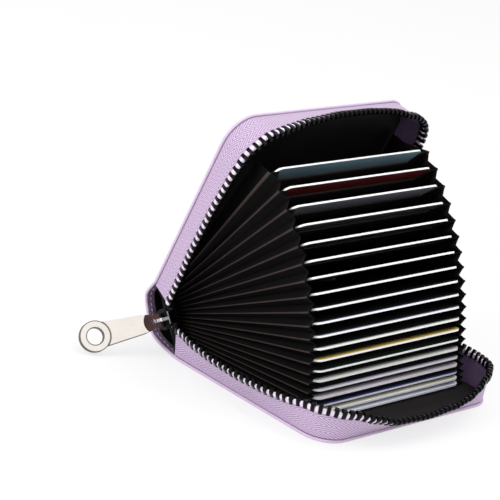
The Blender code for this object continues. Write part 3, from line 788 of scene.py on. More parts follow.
class Shell:
    """One cover and its half of the spine, as a sheet that starts at the middle of the spine."""

    def __init__(self, cover, side, stops):
        self.cover = cover
        self.side = side
        line, inward = round_spine(stops)
        heights = [abs((p - SPINE.origin).dot(SPINE.w) - THICKNESS / 2) for p in line]
        middle = heights.index(min(heights))
        self.points = line[middle::-1] if side > 0 else line[middle:]
        self.inward = inward[middle::-1] if side > 0 else inward[middle:]
        self.reach = [0.0]
        for a, b in zip(self.points, self.points[1:]):
            self.reach.append(self.reach[-1] + (b - a).length)
        self.turned = self.reach[-1]
        self.length = self.turned + WIDTH - COVER_JOIN

    def at(self, along, y, depth):
        """A point that far along the sheet's outside, at that depth under it."""
        if along >= self.turned:
            return self.cover.at(COVER_JOIN + along - self.turned, y, self.side * depth)
        i = next(i for i in range(len(self.points) - 1) if along <= self.reach[i + 1])
        share = (along - self.reach[i]) / (self.reach[i + 1] - self.reach[i])
        way = self.inward[i].lerp(self.inward[i + 1], share).normalized()
        return self.points[i].lerp(self.points[i + 1], share) + way * depth + Vector((0.0, y, 0.0))

    def ring(self, inset):
        """Points (along, y) of the outline set in by that much, from the spine round the cover and back."""
        half = LENGTH / 2 - inset
        radius = max(CORNER - inset, 0.4 * MM)
        centre = self.length - inset - radius
        run = self.reach + spread(self.turned, centre, 10)[1:]
        near = [(along, -half) for along in run]
        corner = [(centre + radius * math.sin(a), -half + radius - radius * math.cos(a))
                  for a in (math.pi / 2 * i / CORNER_STEPS for i in range(1, CORNER_STEPS + 1))]
        near += corner
        return near + [(along, -y) for along, y in near[::-1]], len(run)

    def build(self, name, profile, finishes, paint=None, spine_inset=0.0):
        """Skins the rings of the profile, each an inset and a depth, and closes both flat sides.

        paint gives the finish of the strip above a ring, and spine_inset draws the sheet in at the spine.
        """
        paint = paint or {}
        built = bmesh.new()
        rows = []
        for inset, depth in profile:
            outline, straight = self.ring(inset)
            rows.append([])
            for along, y in outline:
                drawn = spine_inset * min(1.0, max(0.0, (self.turned - along) / COVER_JOIN))
                y = math.copysign(min(abs(y), LENGTH / 2 - inset - drawn), y)
                rows[-1].append(built.verts.new(self.at(along, y, depth)))
        count = len(rows[0])
        for index, (low, high) in enumerate(zip(rows, rows[1:])):
            for i in range(count - 1):
                face = built.faces.new((low[i], low[i + 1], high[i + 1], high[i]))
                face.material_index = paint.get(index, 0)
        for row, finish in ((rows[0], paint.get(0, 0)), (rows[-1], 0)):
            flat = [built.faces.new((row[i], row[i + 1], row[-i - 2], row[-i - 1]))
                    for i in range(straight - 1)]
            flat.append(built.faces.new(row[straight - 1:count - straight + 1]))
            for face in flat:
                face.material_index = finish
        built.faces.new([row[0] for row in rows] + [row[-1] for row in rows[::-1]])
        made = new_piece(name, built, *finishes)
        made.data.set_sharp_from_angle(angle=math.radians(50))
        return made


SHELLS = {"back": Shell(BACK, 1, SPINE_ROUND), "front": Shell(FRONT, -1, SPINE_ROUND)}
LININGS = {"back": Shell(BACK, 1, SPINE_FLAT), "front": Shell(FRONT, -1, SPINE_FLAT)}


def follow_fold(piece, which, on_cover, on_spine):
    """The piece follows its cover from one point and the spine from the other, and bends between them."""
    if which == "back":
        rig.blend(piece, "back_cover", "spine", start=on_cover, end=on_spine)
    else:
        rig.blend(piece, "spine", "front_cover", start=on_spine, end=on_cover)


def bend_with_spine(piece, which):
    """A sheet that lies on its cover turns with the spine past the fold."""
    shell = SHELLS[which]
    height = 0.0 if which == "back" else THICKNESS
    follow_fold(piece, which, shell.cover.at(TURN, 0.0, 0.0), SPINE.at(0.0, 0.0, height + shell.side * TURN))


def stitch(built, start, end, out, radius):
    """One stitch: a short thread that dips into a needle hole at both ends."""
    dark = built.verts.layers.float.get("hole") or built.verts.layers.float.new("hole")
    side = (end - start).normalized().cross(out).normalized()
    rings = []
    for share, thick, lift, hole in STITCH_SHAPE:
        centre = start.lerp(end, share) + out * radius * lift
        rings.append([])
        for i in range(STITCH_SIDES):
            a = 2 * math.pi / STITCH_SIDES * i
            vert = built.verts.new(centre + (side * math.cos(a) + out * math.sin(a)) * radius * thick)
            vert[dark] = hole
            rings[-1].append(vert)
    loft(built, rings)


def walk(points, pitch, length):
    """Starts and ends of pieces of one length, spaced evenly along a line of points."""
    spans = [(b - a).length for a, b in zip(points, points[1:])]
    total = sum(spans)

    def at(distance):
        for i, span in enumerate(spans):
            if distance <= span or i == len(spans) - 1:
                return points[i].lerp(points[i + 1], min(1.0, distance / span))
            distance -= span

    count = int(total / pitch)
    spare = total - count * pitch
    return [(at(spare / 2 + i * pitch), at(spare / 2 + i * pitch + length)) for i in range(count)]


class WALLET_OT_leather(bpy.types.Operator):
    """Makes both leather covers, each with its half of the spine, and their stitching."""

    bl_idname = "wallet.leather"
    bl_label = "Leather covers"

    def execute(self, context):
        thread = thread_finish()
        # The turned hem is the leather darkened as painted shade.
        finishes = (leather(), edge_finish(), once("black_twill_lining", lining_finish),
                    leather_finish("lilac_hem_leather", shade(colour("leather"), 0.42)))
        for which, nodes in (("back", ("back_cover_leather", "spine_leather")),
                             ("front", ("front_cover_leather",))):
            shell = SHELLS[which]
            skin = shell.build(f"{which}_cover_skin", in_metres(LEATHER_RINGS), finishes, LEATHER_PAINT)
            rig.replaces(skin, *nodes)
            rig.slot(skin, "lilac_leather")
            bend_with_spine(skin, which)
            outline = shell.ring(STITCH_INSET)[0]
            flat = [[p for p in outline if p[0] >= shell.turned]]
            turned = [[p for p in outline if p[0] <= shell.turned and p[1] * end > 0] for end in (-1, 1)]
            on_cover = self.sew(f"{which}_cover_stitches", shell, flat, STITCH_SINK, thread)
            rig.ride(on_cover, f"{which}_cover")
            for name, depth in (("spine", STITCH_SINK), ("hem", LEATHER + 0.02 * MM)):
                bend_with_spine(self.sew(f"{which}_{name}_stitches", shell, turned, depth, thread), which)
        return {"FINISHED"}

    def sew(self, name, shell, lines, depth, thread):
        """Stitches along lines of points on the sheet, on its outside or its inside."""
        built = bmesh.new()
        way = 1 if depth > LEATHER / 2 else -1
        for line in lines:
            low = [shell.at(along, y, depth) for along, y in line]
            high = [shell.at(along, y, depth + way * MM) for along, y in line]
            for start, end in walk(low, sizes().stitch_pitch, sizes().stitch):
                near = min(range(len(low)), key=lambda i: (low[i] - start).length)
                stitch(built, start, end, (high[near] - low[near]).normalized(), STITCH_RADIUS)
        made = new_piece(name, built, thread)
        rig.slot(made, "lilac_leather")
        return made


class WALLET_OT_lining(bpy.types.Operator):
    """Makes the black lining of both covers and the spine, and the boards' finish under it."""

    bl_idname = "wallet.lining"
    bl_label = "Lining and boards"

    def execute(self, context):
        lining = once("black_twill_lining", lining_finish)
        board = Finish("black_board", linear((0.10, 0.09, 0.09)), 0.85)
        fibre = board.noise(0.4 * MM, 4.0)
        board.set("Base Color", board.mix(fibre, linear((0.06, 0.05, 0.05)), linear((0.16, 0.14, 0.14))))
        board.bump(fibre, 0.05 * MM)
        for which, nodes in (("back", ("back_cover_lining", "spine_lining")),
                             ("front", ("front_cover_lining",))):
            cloth = LININGS[which].build(f"{which}_cover_lining_cloth", in_metres(LINING_RINGS), (lining,),
                                         spine_inset=LINING_DRAWN_IN)
            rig.replaces(cloth, *nodes)
            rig.slot(cloth, "black_lining")
            bend_with_spine(cloth, which)
        for name in ("back_cover_board", "front_cover_board", "spine_board"):
            frame["nodes"][name].data.materials[0] = board.material
        return {"FINISHED"}


def lean_at(stops, distance):
    """Lean of a tape at a distance along its track, in radians, smooth between the stops."""
    distance /= MM
    for (d0, a0), (d1, a1) in zip(stops, stops[1:]):
        if distance <= d1:
            t = (distance - d0) / (d1 - d0)
            t = t * t * (3 - 2 * t) * 0.5 + t * 0.5
            return math.radians(a0 + (a1 - a0) * t)
    return math.radians(stops[-1][1])


def track(distance):
    """Point (u, y) on the zip's track and the outward way there."""
    radius = CORNER - TRACK_INSET
    cu = WIDTH - CORNER
    cy = LENGTH / 2 - CORNER
    run = cu - TRACK_START
    bend = radius * math.pi / 2
    if distance <= run:
        return (TRACK_START + distance, -cy - radius), (0.0, -1.0)
    distance -= run
    if distance <= bend:
        a = distance / radius - math.pi / 2
        return (cu + radius * math.cos(a), -cy + radius * math.sin(a)), (math.cos(a), math.sin(a))
    distance -= bend
    if distance <= 2 * cy:
        return (cu + radius, distance - cy), (1.0, 0.0)
    distance -= 2 * cy
    if distance <= bend:
        a = distance / radius
        return (cu + radius * math.cos(a), cy + radius * math.sin(a)), (math.cos(a), math.sin(a))
    return (cu - (distance - bend), cy + radius), (0.0, 1.0)


def track_total():
    """Length of the whole track."""
    return 2 * (WIDTH - CORNER - TRACK_START) + math.pi * (CORNER - TRACK_INSET) + LENGTH - 2 * CORNER


class Tape:
    """One side of the zip: where a point of its tape lies."""

    def __init__(self, which):
        self.which = which
        self.cover = SHELLS[which].cover
        self.side = SHELLS[which].side
        self.stops = BACK_LEAN if which == "back" else FRONT_LEAN

    def at(self, distance, up, across):
        """Point that far along the track and up the tape, moved outwards by across."""
        (u, y), (nu, ny) = track(distance)
        lean = lean_at(self.stops, distance)
        out = 0.0
        high = TAPE_FOOT
        for i in range(LEAN_STEPS):
            angle = self.angle(lean, up * (i + 0.5) / LEAN_STEPS)
            out += math.sin(angle) * up / LEAN_STEPS
            high += math.cos(angle) * up / LEAN_STEPS
        angle = self.angle(lean, up)
        out += across * math.cos(angle)
        high -= across * math.sin(angle)
        return self.cover.at(u + nu * out, y + ny * out, self.side * high)

    def angle(self, lean, up):
        """The lean that far up the tape, which curves outwards a little."""
        return lean * (1 - LEAN_SPREAD + 2 * LEAN_SPREAD * min(1.0, max(0.0, up) / TAPE_TALL))


TAPES = {"back": Tape("back"), "front": Tape("front")}
def tape_sections():
    """Name, start, end and middle of each stretch of the tapes: three runs, and pieces round the corners."""
    turn = (CORNER - TRACK_INSET) * math.pi / 2
    step = turn / (CORNER_PIECES + 1)
    near = WIDTH - CORNER - TRACK_START
    far = near + turn + LENGTH - 2 * CORNER
    end = far + turn
    stretches = [("near", -TAPE_LEAD, near + step / 2, near)]
    for label, start in (("near", near), ("far", far)):
        for k in range(1, CORNER_PIECES + 1):
            middle = start + k * step
            stretches.append((f"{label}_corner_{k}", middle - step / 2, middle + step / 2, middle))
    stretches.append(("fore", near + turn - step / 2, far + step / 2, far))
    stretches.append(("far", end - step / 2, track_total() + TAPE_LEAD, end))
    return stretches


def fold_flat(piece, which, middle):
    """As the wallet closes, the tape comes back to its cover's edge, along the outward way at its middle."""
    cover = SHELLS[which].cover
    (u, y), (nu, ny) = track(middle)
    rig.ride(piece, f"{which}_cover")
    axis = tuple(cover.u * nu + Vector((0.0, ny, 0.0)))
    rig.squash(piece, "spine_fold", axis=axis, anchor=cover.at(u, y, 0.0), keep=SQUASH_KEEP)


def tape_section():
    """Across and up of the tape's closed section, and how many of its points are on the inside."""
    rise = [TAPE_TALL * s for s in TAPE_RISE_SHARES]
    inner = [(-TAPE_HALF, up) for up in rise]
    outer = [(TAPE_HALF, up) for up in rise[-2::-1]]
    return inner + in_metres(BEAD) + outer, len(inner)


def skin_rings(built, rings, uvs, inner_faces):
    """Closed skin through rings of points, each with its place on the weave."""
    layer = built.loops.layers.uv.new("weave")
    rows = [[built.verts.new(p) for p in ring] for ring in rings]
    place = {vert: uv for row, places in zip(rows, uvs) for vert, uv in zip(row, places)}
    steps, ends = loft(built, rows)
    for step in steps:
        for face in step[:inner_faces]:
            face.material_index = 1
    for face in sum(steps, ends):
        for loop in face.loops:
            loop[layer].uv = place[loop.vert]


class WALLET_OT_tapes(bpy.types.Operator):
    """Makes the woven zip tapes round three sides of both covers."""

    bl_idname = "wallet.tapes"
    bl_label = "Zip tapes"

    def execute(self, context):
        # Painted highlight: the outside's bead is near white where it catches the light.
        bead = linear((0.93, 0.88, 0.95))
        outside = tape_finish("lilac_twill_tape", colour("tape"), bead)
        # The inside takes painted shade, a darker purple than the outside.
        inside = tape_finish("lilac_twill_inside", colour("tape_inside"), colour("tape"))
        section, inner = tape_section()
        for which, tape in TAPES.items():
            for label, start, end, middle in tape_sections():
                stops = spread(start, end, round((end - start) / TAPE_STEP))
                rings = [[tape.at(d, up, across) for across, up in section] for d in stops]
                uvs = [[(d, up) for across, up in section] for d in stops]
                built = bmesh.new()
                skin_rings(built, rings, uvs, inner - 1)
                made = new_piece(f"{which}_tape_{label}", built, outside, inside)
                made.data.set_sharp_from_angle(angle=math.radians(75))
                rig.slot(made, "lilac_tape")
                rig.replaces(made, f"{which}_cover_zip_tape")
                fold_flat(made, which, middle)
        return {"FINISHED"}


def tooth(built, at):
    """One clasped tooth. at gives a point from its distance along the tooth, up and across."""
    outer = in_metres(TOOTH_HALF)
    inner = in_metres(TOOTH_INNER)
    right = inner[-2::-1] + outer[:-1]
    shape = right + [outer[-1]] + [(-a, up) for a, up in right[::-1]] + [inner[-1]]
    rings = []
    for share, shrink in TOOTH_RINGS:
        squeeze = 0.55 + 0.45 * shrink
        rings.append([built.verts.new(at(share * TOOTH_LENGTH, TOOTH_MIDDLE + (up - TOOTH_MIDDLE) * squeeze,
                                         across * shrink)) for across, up in shape])
    loft(built, rings)


def tooth_places(tape, shift):
    """Where the teeth stand: evenly along the tape's free edge, which is longer than the track at corners."""
    step = 0.1 * MM
    distance = TOOTH_LENGTH / 2 + 0.2 * MM - TAPE_LEAD
    last = tape.at(distance, BEAD_FOOT, 0.0)
    due = shift
    places = []
    while distance < track_total() + TAPE_LEAD - TOOTH_LENGTH / 2:
        here = tape.at(distance, BEAD_FOOT, 0.0)
        due -= (here - last).length
        if due <= 0:
            places.append(distance)
            due += TOOTH_PITCH
        last = here
        distance += step
    return places


class WALLET_OT_teeth(bpy.types.Operator):
    """Makes the zip's teeth, clasped on the edge of both tapes."""

    bl_idname = "wallet.teeth"
    bl_label = "Zip teeth"

    def execute(self, context):
        metal = dark_metal()
        for which, tape in TAPES.items():
            shift = 0.0 if which == "back" else TOOTH_PITCH / 2
            places = tooth_places(tape, shift)
            for label, start, end, middle in tape_sections():
                built = bmesh.new()
                for place in places:
                    if start <= place < end:
                        tooth(built, lambda along, up, across, m=place: tape.at(m + along, up, across))
                made = new_piece(f"{which}_teeth_{label}", built, metal)
                made.data.set_sharp_from_angle(angle=math.radians(40))
                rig.slot(made, "gunmetal")
                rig.replaces(made, f"{which}_cover_zip_teeth")
                fold_flat(made, which, middle)
        return {"FINISHED"}


def on_side(which, point):
    """A point given for the back tape, or its mirror image between the covers for the front one."""
    if which == "back":
        return point
    middle = SPINE.at(0.0, 0.0, THICKNESS / 2)
    return point - SPINE.w * (2 * (point - middle).dot(SPINE.w))


def end_place(which, place):
    """A place of a tape's free end, given in mm."""
    inward, along, below = place
    return on_side(which, SPINE.at(inward * MM, along * MM, THICKNESS / 2 - below * MM))


def tape_end_line(which, share):
    """Foot and edge of a tape's free end, from the end of its twill at 0 to the slider's tail at 1."""
    tape = TAPES[which]
    foot = tape.at(-TAPE_LEAD, 0.0, 0.0).lerp(end_place(which, END_ROOT), share)
    first = tape.at(-TAPE_LEAD, TAPE_TALL, 0.0)
    mouth = end_place(which, END_MOUTH)
    if share < 0.5:
        return foot, first.lerp(mouth, share / 0.5)
    return foot, mouth.lerp(end_place(which, END_TAIL), (share - 0.5) / 0.5)


class WALLET_OT_tape_ends(bpy.types.Operator):
    """Makes the free ends of the tapes, which run into the slider, with their teeth."""

    bl_idname = "wallet.tape_ends"
    bl_label = "Tape ends"

    def execute(self, context):
        thick = Vector((0.0, END_THICK, 0.0))
        for which in ("back", "front"):
            rings = []
            for share in spread(0.0, 1.0, END_RINGS):
                foot, edge = tape_end_line(which, share)
                sag = Vector((0.0, END_SAG, 0.0)) * (1 - 0.4 * share)
                line = [foot.lerp(edge, t) + sag * (4 * t * (1 - t)) for t in spread(0.0, 1.0, 5)]
                rings.append([p + thick for p in line] + [p - thick for p in line[::-1]])
            built = bmesh.new()
            skin_rings(built, rings, [[(0.0, 0.0)] * len(ring) for ring in rings], 0)
            made = new_piece(f"{which}_tape_lead", built, black_cloth())
            made.data.set_sharp_from_angle(angle=math.radians(50))
            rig.slot(made, "lilac_tape")
            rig.replaces(made, f"{which}_tape_end")
            built = bmesh.new()
            self.tooth_at(built, which, END_TOOTH_SHARE)
            teeth = new_piece(f"{which}_teeth_lead", built, dark_metal())
            teeth.data.set_sharp_from_angle(angle=math.radians(40))
            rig.slot(teeth, "gunmetal")
            for piece in (made, teeth):
                self.bend(piece, which)
        return {"FINISHED"}

    def bend(self, piece, which):
        on_cover = BACK.at(3.3 * MM, 0.0, 12.0 * MM)
        on_spine = SPINE.at(7.0 * MM, 0.0, 12.0 * MM)
        follow_fold(piece, which, on_side(which, on_cover), on_side(which, on_spine))

    def tooth_at(self, built, which, share):
        """A tooth on the edge, between the twill and the slider."""
        foot, here = tape_end_line(which, share)
        _, there = tape_end_line(which, share + 0.02)
        along = (there - here).normalized()
        out = along.cross(here - foot).normalized()
        out = out if out.y < 0 else -out
        rise = out.cross(along)
        rise = rise if rise.dot(here - foot) > 0 else -rise
        tooth(built, lambda a, up, across: here + along * a + rise * (up - TAPE_TALL) + out * across)


def owner_of(row):
    """The pocket that carries the gusset between row and row + 1: the one that turns more."""
    return row if abs(turn_ratio(row)) >= abs(turn_ratio(row + 1)) else row + 1


def fold_line(row):
    """Gives the points of the line in which a gusset joins a wall, by their share of the way out."""
    reach = REACHES[row] - FOLD_SHORT - FOLD_START
    return lambda share: LEAVES[row].at(FOLD_START + share * reach, 0.0, 0.0)


def front_line(share):
    """A point on the front cover's lining where the last gusset is sewn, by its share of the way."""
    length = WIDTH - CORNER - FRONT_SEAM_SHORT
    return FRONT.at(FRONT_SEAM_START + share * length, 0.0, -FRONT_SEAM_DEPTH)


def gusset_rows(own, other, key):
    """Rows of one folded strip between two lines that go out from the spine, and its crease marks."""
    rows = []
    for share in spread(0.0, 1.0, FOLD_ROWS):
        a, b = own(share), other(share)
        depth = ROOT_VALLEY + share * (MOUTH_VALLEY - ROOT_VALLEY)
        depth += FOLD_RIPPLE * math.sin(5.1 * share + key * 1.7)
        rows.append([])
        for t, proud in GUSSET_SHAPE:
            if proud is None:
                y = FOLD_TIP + (depth - FOLD_TIP) * (1 - abs(t - 0.5) * 2) ** 0.9
            else:
                y = FOLD_TIP + proud * MM
            rows[-1].append((a.lerp(b, t), y))
    marks = [0.0 if proud is None else 1.0 for _, proud in GUSSET_SHAPE]
    return rows, [marks] * len(rows)


def mirrored(columns):
    """Columns from one end to the middle, and the same ones on to the other end."""
    return columns + [(-y, value) for y, value in columns[-2::-1]]


def sleeve_short(row):
    """How far a sleeve ends short of its wall."""
    return SLEEVES_SHORTER.get(row, SLEEVE_SHORT)


class Cloth:
    """Collects the sheets of one pocket."""

    def __init__(self):
        self.built = bmesh.new()
        # The crease marks say where the cloth is paler, as wear and as a painted highlight.
        self.marks = self.built.verts.layers.float.new("crease")

    def point(self, place, mark):
        vert = self.built.verts.new(place)
        vert[self.marks] = mark
        return vert

    def sheet(self, rows, marks):
        """Faces between rows of points, each point with its crease mark."""
        made = [[self.point(p, m) for p, m in zip(row, mark)] for row, mark in zip(rows, marks)]
        for low, high in zip(made, made[1:]):
            for i in range(len(low) - 1):
                self.built.faces.new((low[i], low[i + 1], high[i + 1], high[i]))

    def strip(self, rows, marks):
        """The same folded strip at both ends of the pocket."""
        for end in (-1, 1):
            self.sheet([[p + Vector((0.0, end * y, 0.0)) for p, y in row] for row in rows], marks)

    def wall(self, row):
        """The pocket's wall, its mouth cut back between two tabs, and a lip out to each crest."""
        leaf = LEAVES[row]
        mouth, tab = REACHES[row] - MOUTH_SHORT, REACHES[row] - TAB_SHORT
        columns = mirrored([(-FOLD_TIP, 1.0), (-WALL_HALF - WALL_LIP, 0.4), (-WALL_HALF, 0.0),
                            (-TAB_HALF, 0.0), (-MOUTH_HALF, 0.0), (-MOUTH_HALF / 2, 0.0), (0.0, 0.0)])
        depths = spread(FOLD_START, mouth, 10)
        self.sheet([[leaf.at(u, y, 0.0) for y, _ in columns] for u in depths],
                   [[max(m, 0.5 if u == mouth and abs(y) < TAB_HALF else 0.0) for y, m in columns]
                    for u in depths])
        side = [(FOLD_TIP, 1.0), (WALL_HALF + WALL_LIP, 0.4), (WALL_HALF, 0.0), (TAB_HALF, 0.3)]
        tips = spread(mouth, tab, 3)
        for end in (-1, 1):
            self.sheet([[leaf.at(u, end * y, 0.0) for y, _ in side] for u in tips],
                       [[m for _, m in side] for _ in tips])
            corner = ((mouth, TAB_HALF, 0.3), (tab, TAB_HALF, 0.5), (mouth, MOUTH_HALF, 0.5))
            self.built.faces.new([self.point(leaf.at(u, end * y, 0.0), mark) for u, y, mark in corner])

    def sleeve(self, row):
        """The pocket's upper wall, which lies on the card and is sewn to the lower wall at both ends."""
        mouth = REACHES[row] - sleeve_short(row)
        columns = mirrored([(-WALL_HALF, 0.05 * MM), (-SLEEVE_HALF, SLEEVE_LIFT), (0.0, SLEEVE_LIFT)])
        depths = spread(SLEEVE_ROOT, mouth, 6)
        self.sheet([[LEAVES[row].at(u, y, lift if u > SLEEVE_ROOT else 0.5 * lift) for y, lift in columns]
                    for u in depths],
                   [[0.2 if u == mouth else 0.0] * len(columns) for u in depths])

    def hem(self, row):
        """The folded edge of the mouth, a little proud of the wall's under side."""
        mouth = REACHES[row] - MOUTH_SHORT
        self.sheet([[LEAVES[row].at(mouth + u * MM, y, w * MM) for y in (-MOUTH_HALF, 0.0, MOUTH_HALF)]
                    for u, w, _ in HEM_SHAPE],
                   [[mark] * 3 for _, _, mark in HEM_SHAPE])

    def finish(self, name):
        """Makes the piece, and gives its area too."""
        area = sum(face.calc_area() for face in self.built.faces)
        made = new_piece(name, self.built, black_cloth())
        made.data.set_sharp_from_angle(angle=math.radians(60))
        thick = made.modifiers.new("cloth", "SOLIDIFY")
        thick.thickness = CLOTH_THICK
        thick.offset = 0.0
        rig.slot(made, "accordion_cloth")
        return made, area


def blend_share(weight):
    """The place between start and end at which a blend has that weight."""
    low, high = 0.0, 1.0
    for _ in range(40):
        middle = (low + high) / 2
        low, high = (middle, high) if middle * middle * (3 - 2 * middle) < weight else (low, middle)
    return low


def hang(piece, body, place, other, weight):
    """The piece turns with its pocket, and less so towards the line it shares with its neighbour."""
    away = (other - place.origin).dot(place.w)
    spare = 1 - blend_share(max(0.0, min(0.97, weight)))
    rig.blend(piece, "spine", body, start=place.at(0.0, 0.0, away / spare), end=place.at(0.0, 0.0, 0.0))


class WALLET_OT_pockets(bpy.types.Operator):
    """Makes the accordion: twenty pocket walls, the folded gussets at both ends and the web behind."""

    bl_idname = "wallet.pockets"
    bl_label = "Accordion pockets"

    def execute(self, context):
        partners = {row: [] for row in range(CARD_COUNT)}
        for row in range(CARD_COUNT - 1):
            owner = owner_of(row)
            partners[owner].append(row + 1 if owner == row else row)
        for row, others in partners.items():
            number = CARD_COUNT - row
            cloth = Cloth()
            cloth.wall(row)
            cloth.sleeve(row)
            cloth.hem(row)
            for other in others:
                cloth.strip(*gusset_rows(fold_line(row), fold_line(other), row))
            made, area = cloth.finish(f"pocket_{number:02d}_cloth")
            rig.replaces(made, f"pocket_wall_{number:02d}")
            width = 2 * (FOLD_TIP + len(others) * GUSSET_CUT)
            length = 2 * (REACHES[row] - FOLD_START)
            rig.sheet(made, flat=(width, length), held="folded", area=min(area, width * length),
                     rests_on=[f"card_{number:02d}"])
            if others:
                share = turn_ratio(others[0]) / turn_ratio(row)
                hang(made, f"pocket_{number:02d}", LEAVES[row], fold_line(others[0])(1.0), share)
            else:
                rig.ride(made, f"pocket_{number:02d}")
        self.front_gusset()
        self.web()
        return {"FINISHED"}

    def front_gusset(self):
        """The folded strips between the uppermost pocket and the front cover's lining."""
        top = fold_line(CARD_COUNT - 1)
        cloth = Cloth()
        cloth.strip(*gusset_rows(front_line, top, 3))
        made, _ = cloth.finish("front_cover_gusset_cloth")
        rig.replaces(made, "near_gusset", "far_gusset")
        place = Place(FRONT.at(0.0, 0.0, -FRONT_SEAM_DEPTH), FRONT.angle)
        hang(made, "front_cover", place, top(1.0), turn_ratio(CARD_COUNT - 1))

    def web(self):
        """The strip on the spine, with a rounded rib where each pocket is sewn to it."""
        cloth = Cloth()
        half = LENGTH / 2 - WEB_INSET
        rows = []
        for leaf in LEAVES:
            level = (leaf.origin - SPINE.origin).dot(SPINE.w)
            for lift, step in WEB_RIB:
                rows.append([SPINE.at(lift * MM, y, level + step * MM) for y in (-half, 0.0, half)])
        cloth.sheet(rows, [[0.1, 0.1, 0.1]] * len(rows))
        made, _ = cloth.finish("accordion_web_cloth")
        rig.replaces(made, "accordion_web")
        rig.ride(made, "spine")


# Cards, the front cover's first: the colour of its upper face and of its under side.
WHITE = (0.98, 0.98, 0.985)
CARD_COLOURS = (
    ((0.52, 0.62, 0.66), (0.36, 0.46, 0.50)), ((0.42, 0.12, 0.14), (0.30, 0.08, 0.08)),
    ((0.62, 0.64, 0.68), (0.36, 0.37, 0.40)), ((0.85, 0.85, 0.86), (0.20, 0.20, 0.21)),
    ((0.82, 0.80, 0.80), (0.16, 0.13, 0.13)), ((0.70, 0.70, 0.74), (0.14, 0.13, 0.14)),
    ((0.80, 0.80, 0.82), (0.12, 0.12, 0.13)), ((0.60, 0.62, 0.68), (0.12, 0.12, 0.13)),
    ((0.45, 0.50, 0.62), (0.12, 0.12, 0.13)), ((0.38, 0.50, 0.66), (0.12, 0.12, 0.13)),
    ((0.55, 0.58, 0.70), (0.12, 0.12, 0.13)), ((0.84, 0.86, 0.84), (0.12, 0.12, 0.13)),
    ((0.88, 0.76, 0.38), (0.30, 0.24, 0.10)), ((0.06, 0.24, 0.14), (0.05, 0.14, 0.09)),
    ((0.86, 0.87, 0.84), (0.20, 0.20, 0.20)), ((0.72, 0.70, 0.80), (0.20, 0.20, 0.22)),
    ((0.84, 0.80, 0.84), (0.20, 0.20, 0.22)), ((0.20, 0.22, 0.46), (0.14, 0.14, 0.26)),
    ((0.93, 0.92, 0.88), (0.20, 0.20, 0.22)), ((0.86, 0.89, 0.97), (0.30, 0.30, 0.36)),
)


def ease_edges(node, width, angle):
    """Rounds the node's sharp edges, and gives the modifier."""
    made = node.modifiers.new("eased edge", "BEVEL")
    made.width = width
    made.segments = 2
    made.limit_method = "ANGLE"
    made.angle_limit = math.radians(angle)
    return made


def card_finish(row):
    """White core at the edge, a faint sweep of tone on both faces, and dark where the sleeve shades it."""
    number = CARD_COUNT - row
    top, under = (linear(c) for c in CARD_COLOURS[number - 1])
    made = Finish(f"card_{number:02d}_print", linear(WHITE), 0.34, coat_weight=0.4, coat_roughness=0.15)
    facing = made.dot(made.place("Normal"), LEAVES[row].w)
    _, y, _ = made.apart(made.place())
    sweep = (y / (60 * MM) + made.noise(25 * MM, 2.0) - 0.5 + number * 0.13).wave().ramp(-1.0, 1.0)
    upper = made.mix(sweep, shade(top, 0.80), shade(top, 1.15))
    lower = made.mix(sweep, shade(under, 0.75), shade(under, 1.2))
    fore = made.dot(made.place(), LEAVES[row].u) - LEAVES[row].at(REACHES[row], 0.0, 0.0).dot(LEAVES[row].u)
    # Painted shade: the upper face darkens inwards from where the sleeve ends over it.
    upper = made.mix(fore.ramp(-sleeve_short(row) - 0.2 * MM, -0.3 * MM), shade(top, 0.10), upper)
    face = made.mix(facing.ramp(-0.1, 0.1), lower, upper)
    made.set("Base Color", made.mix(facing.size().ramp(0.92, 0.98), linear(WHITE), face))
    made.bump(made.noise(0.3 * MM, 3.0), 0.01 * MM, 0.3)
    return made.material


class WALLET_OT_cards(bpy.types.Operator):
    """Prints the twenty cards, with eased edges."""

    bl_idname = "wallet.cards"
    bl_label = "Cards"

    def execute(self, context):
        for row in range(CARD_COUNT):
            node = frame["nodes"][f"card_{CARD_COUNT - row:02d}"]
            node.data.materials[0] = card_finish(row)
            ease_edges(node, 0.26 * MM, 60)
        return {"FINISHED"}


# The puller as it hangs: the way along its blade from the pin, and out of its face.
PIN = Vector(JOINTS["puller_swing"]["pos_m"])
PULLER_TURN = math.radians(239)
PULLER_WAY = SPINE.u * math.cos(PULLER_TURN) + Vector((0.0, math.sin(PULLER_TURN), 0.0))
PULLER_FACE = SPINE.u * -math.sin(PULLER_TURN) + Vector((0.0, math.cos(PULLER_TURN), 0.0))
HOLLOW_CENTRE = 1.6 * MM
HOLLOW_RADIUS = 4.8 * MM
RING_CENTRE = 25.2 * MM
RING_RADIUS = 5.8 * MM
HOLE_RADIUS = 3.1 * MM
BLADE_HALF = 2.75 * MM
BLADE_TAPER = 0.0707

# Where the painted highlights lie on the slider's bridge, in mm: its arms reach past the pin, and its plate holds the
# post and the bar.
BAIL_HALF, BAIL_REACH = 0.62, 2.2
PLATE_LOW, PLATE_HIGH = 0.90, 1.05
POST_START, POST_HALF = 3.35, 2.2
BAR_START, BAR_HALF = 0.4, 0.50
ARC_SLOPE, ARC_START = 0.6, 4.20


def from_pin(made, *ways):
    """How far the surface lies from the puller's pin, along each way."""
    offset = made.add("ShaderNodeVectorMath", {"operation": "SUBTRACT"}, {0: made.place(), 1: tuple(PIN)})
    return [made.dot(offset.outputs[0], way) for way in ways]


def length_of(first, second):
    """Length of the line that goes that far in each of two square ways."""
    return (first ** 2 + second ** 2) ** 0.5


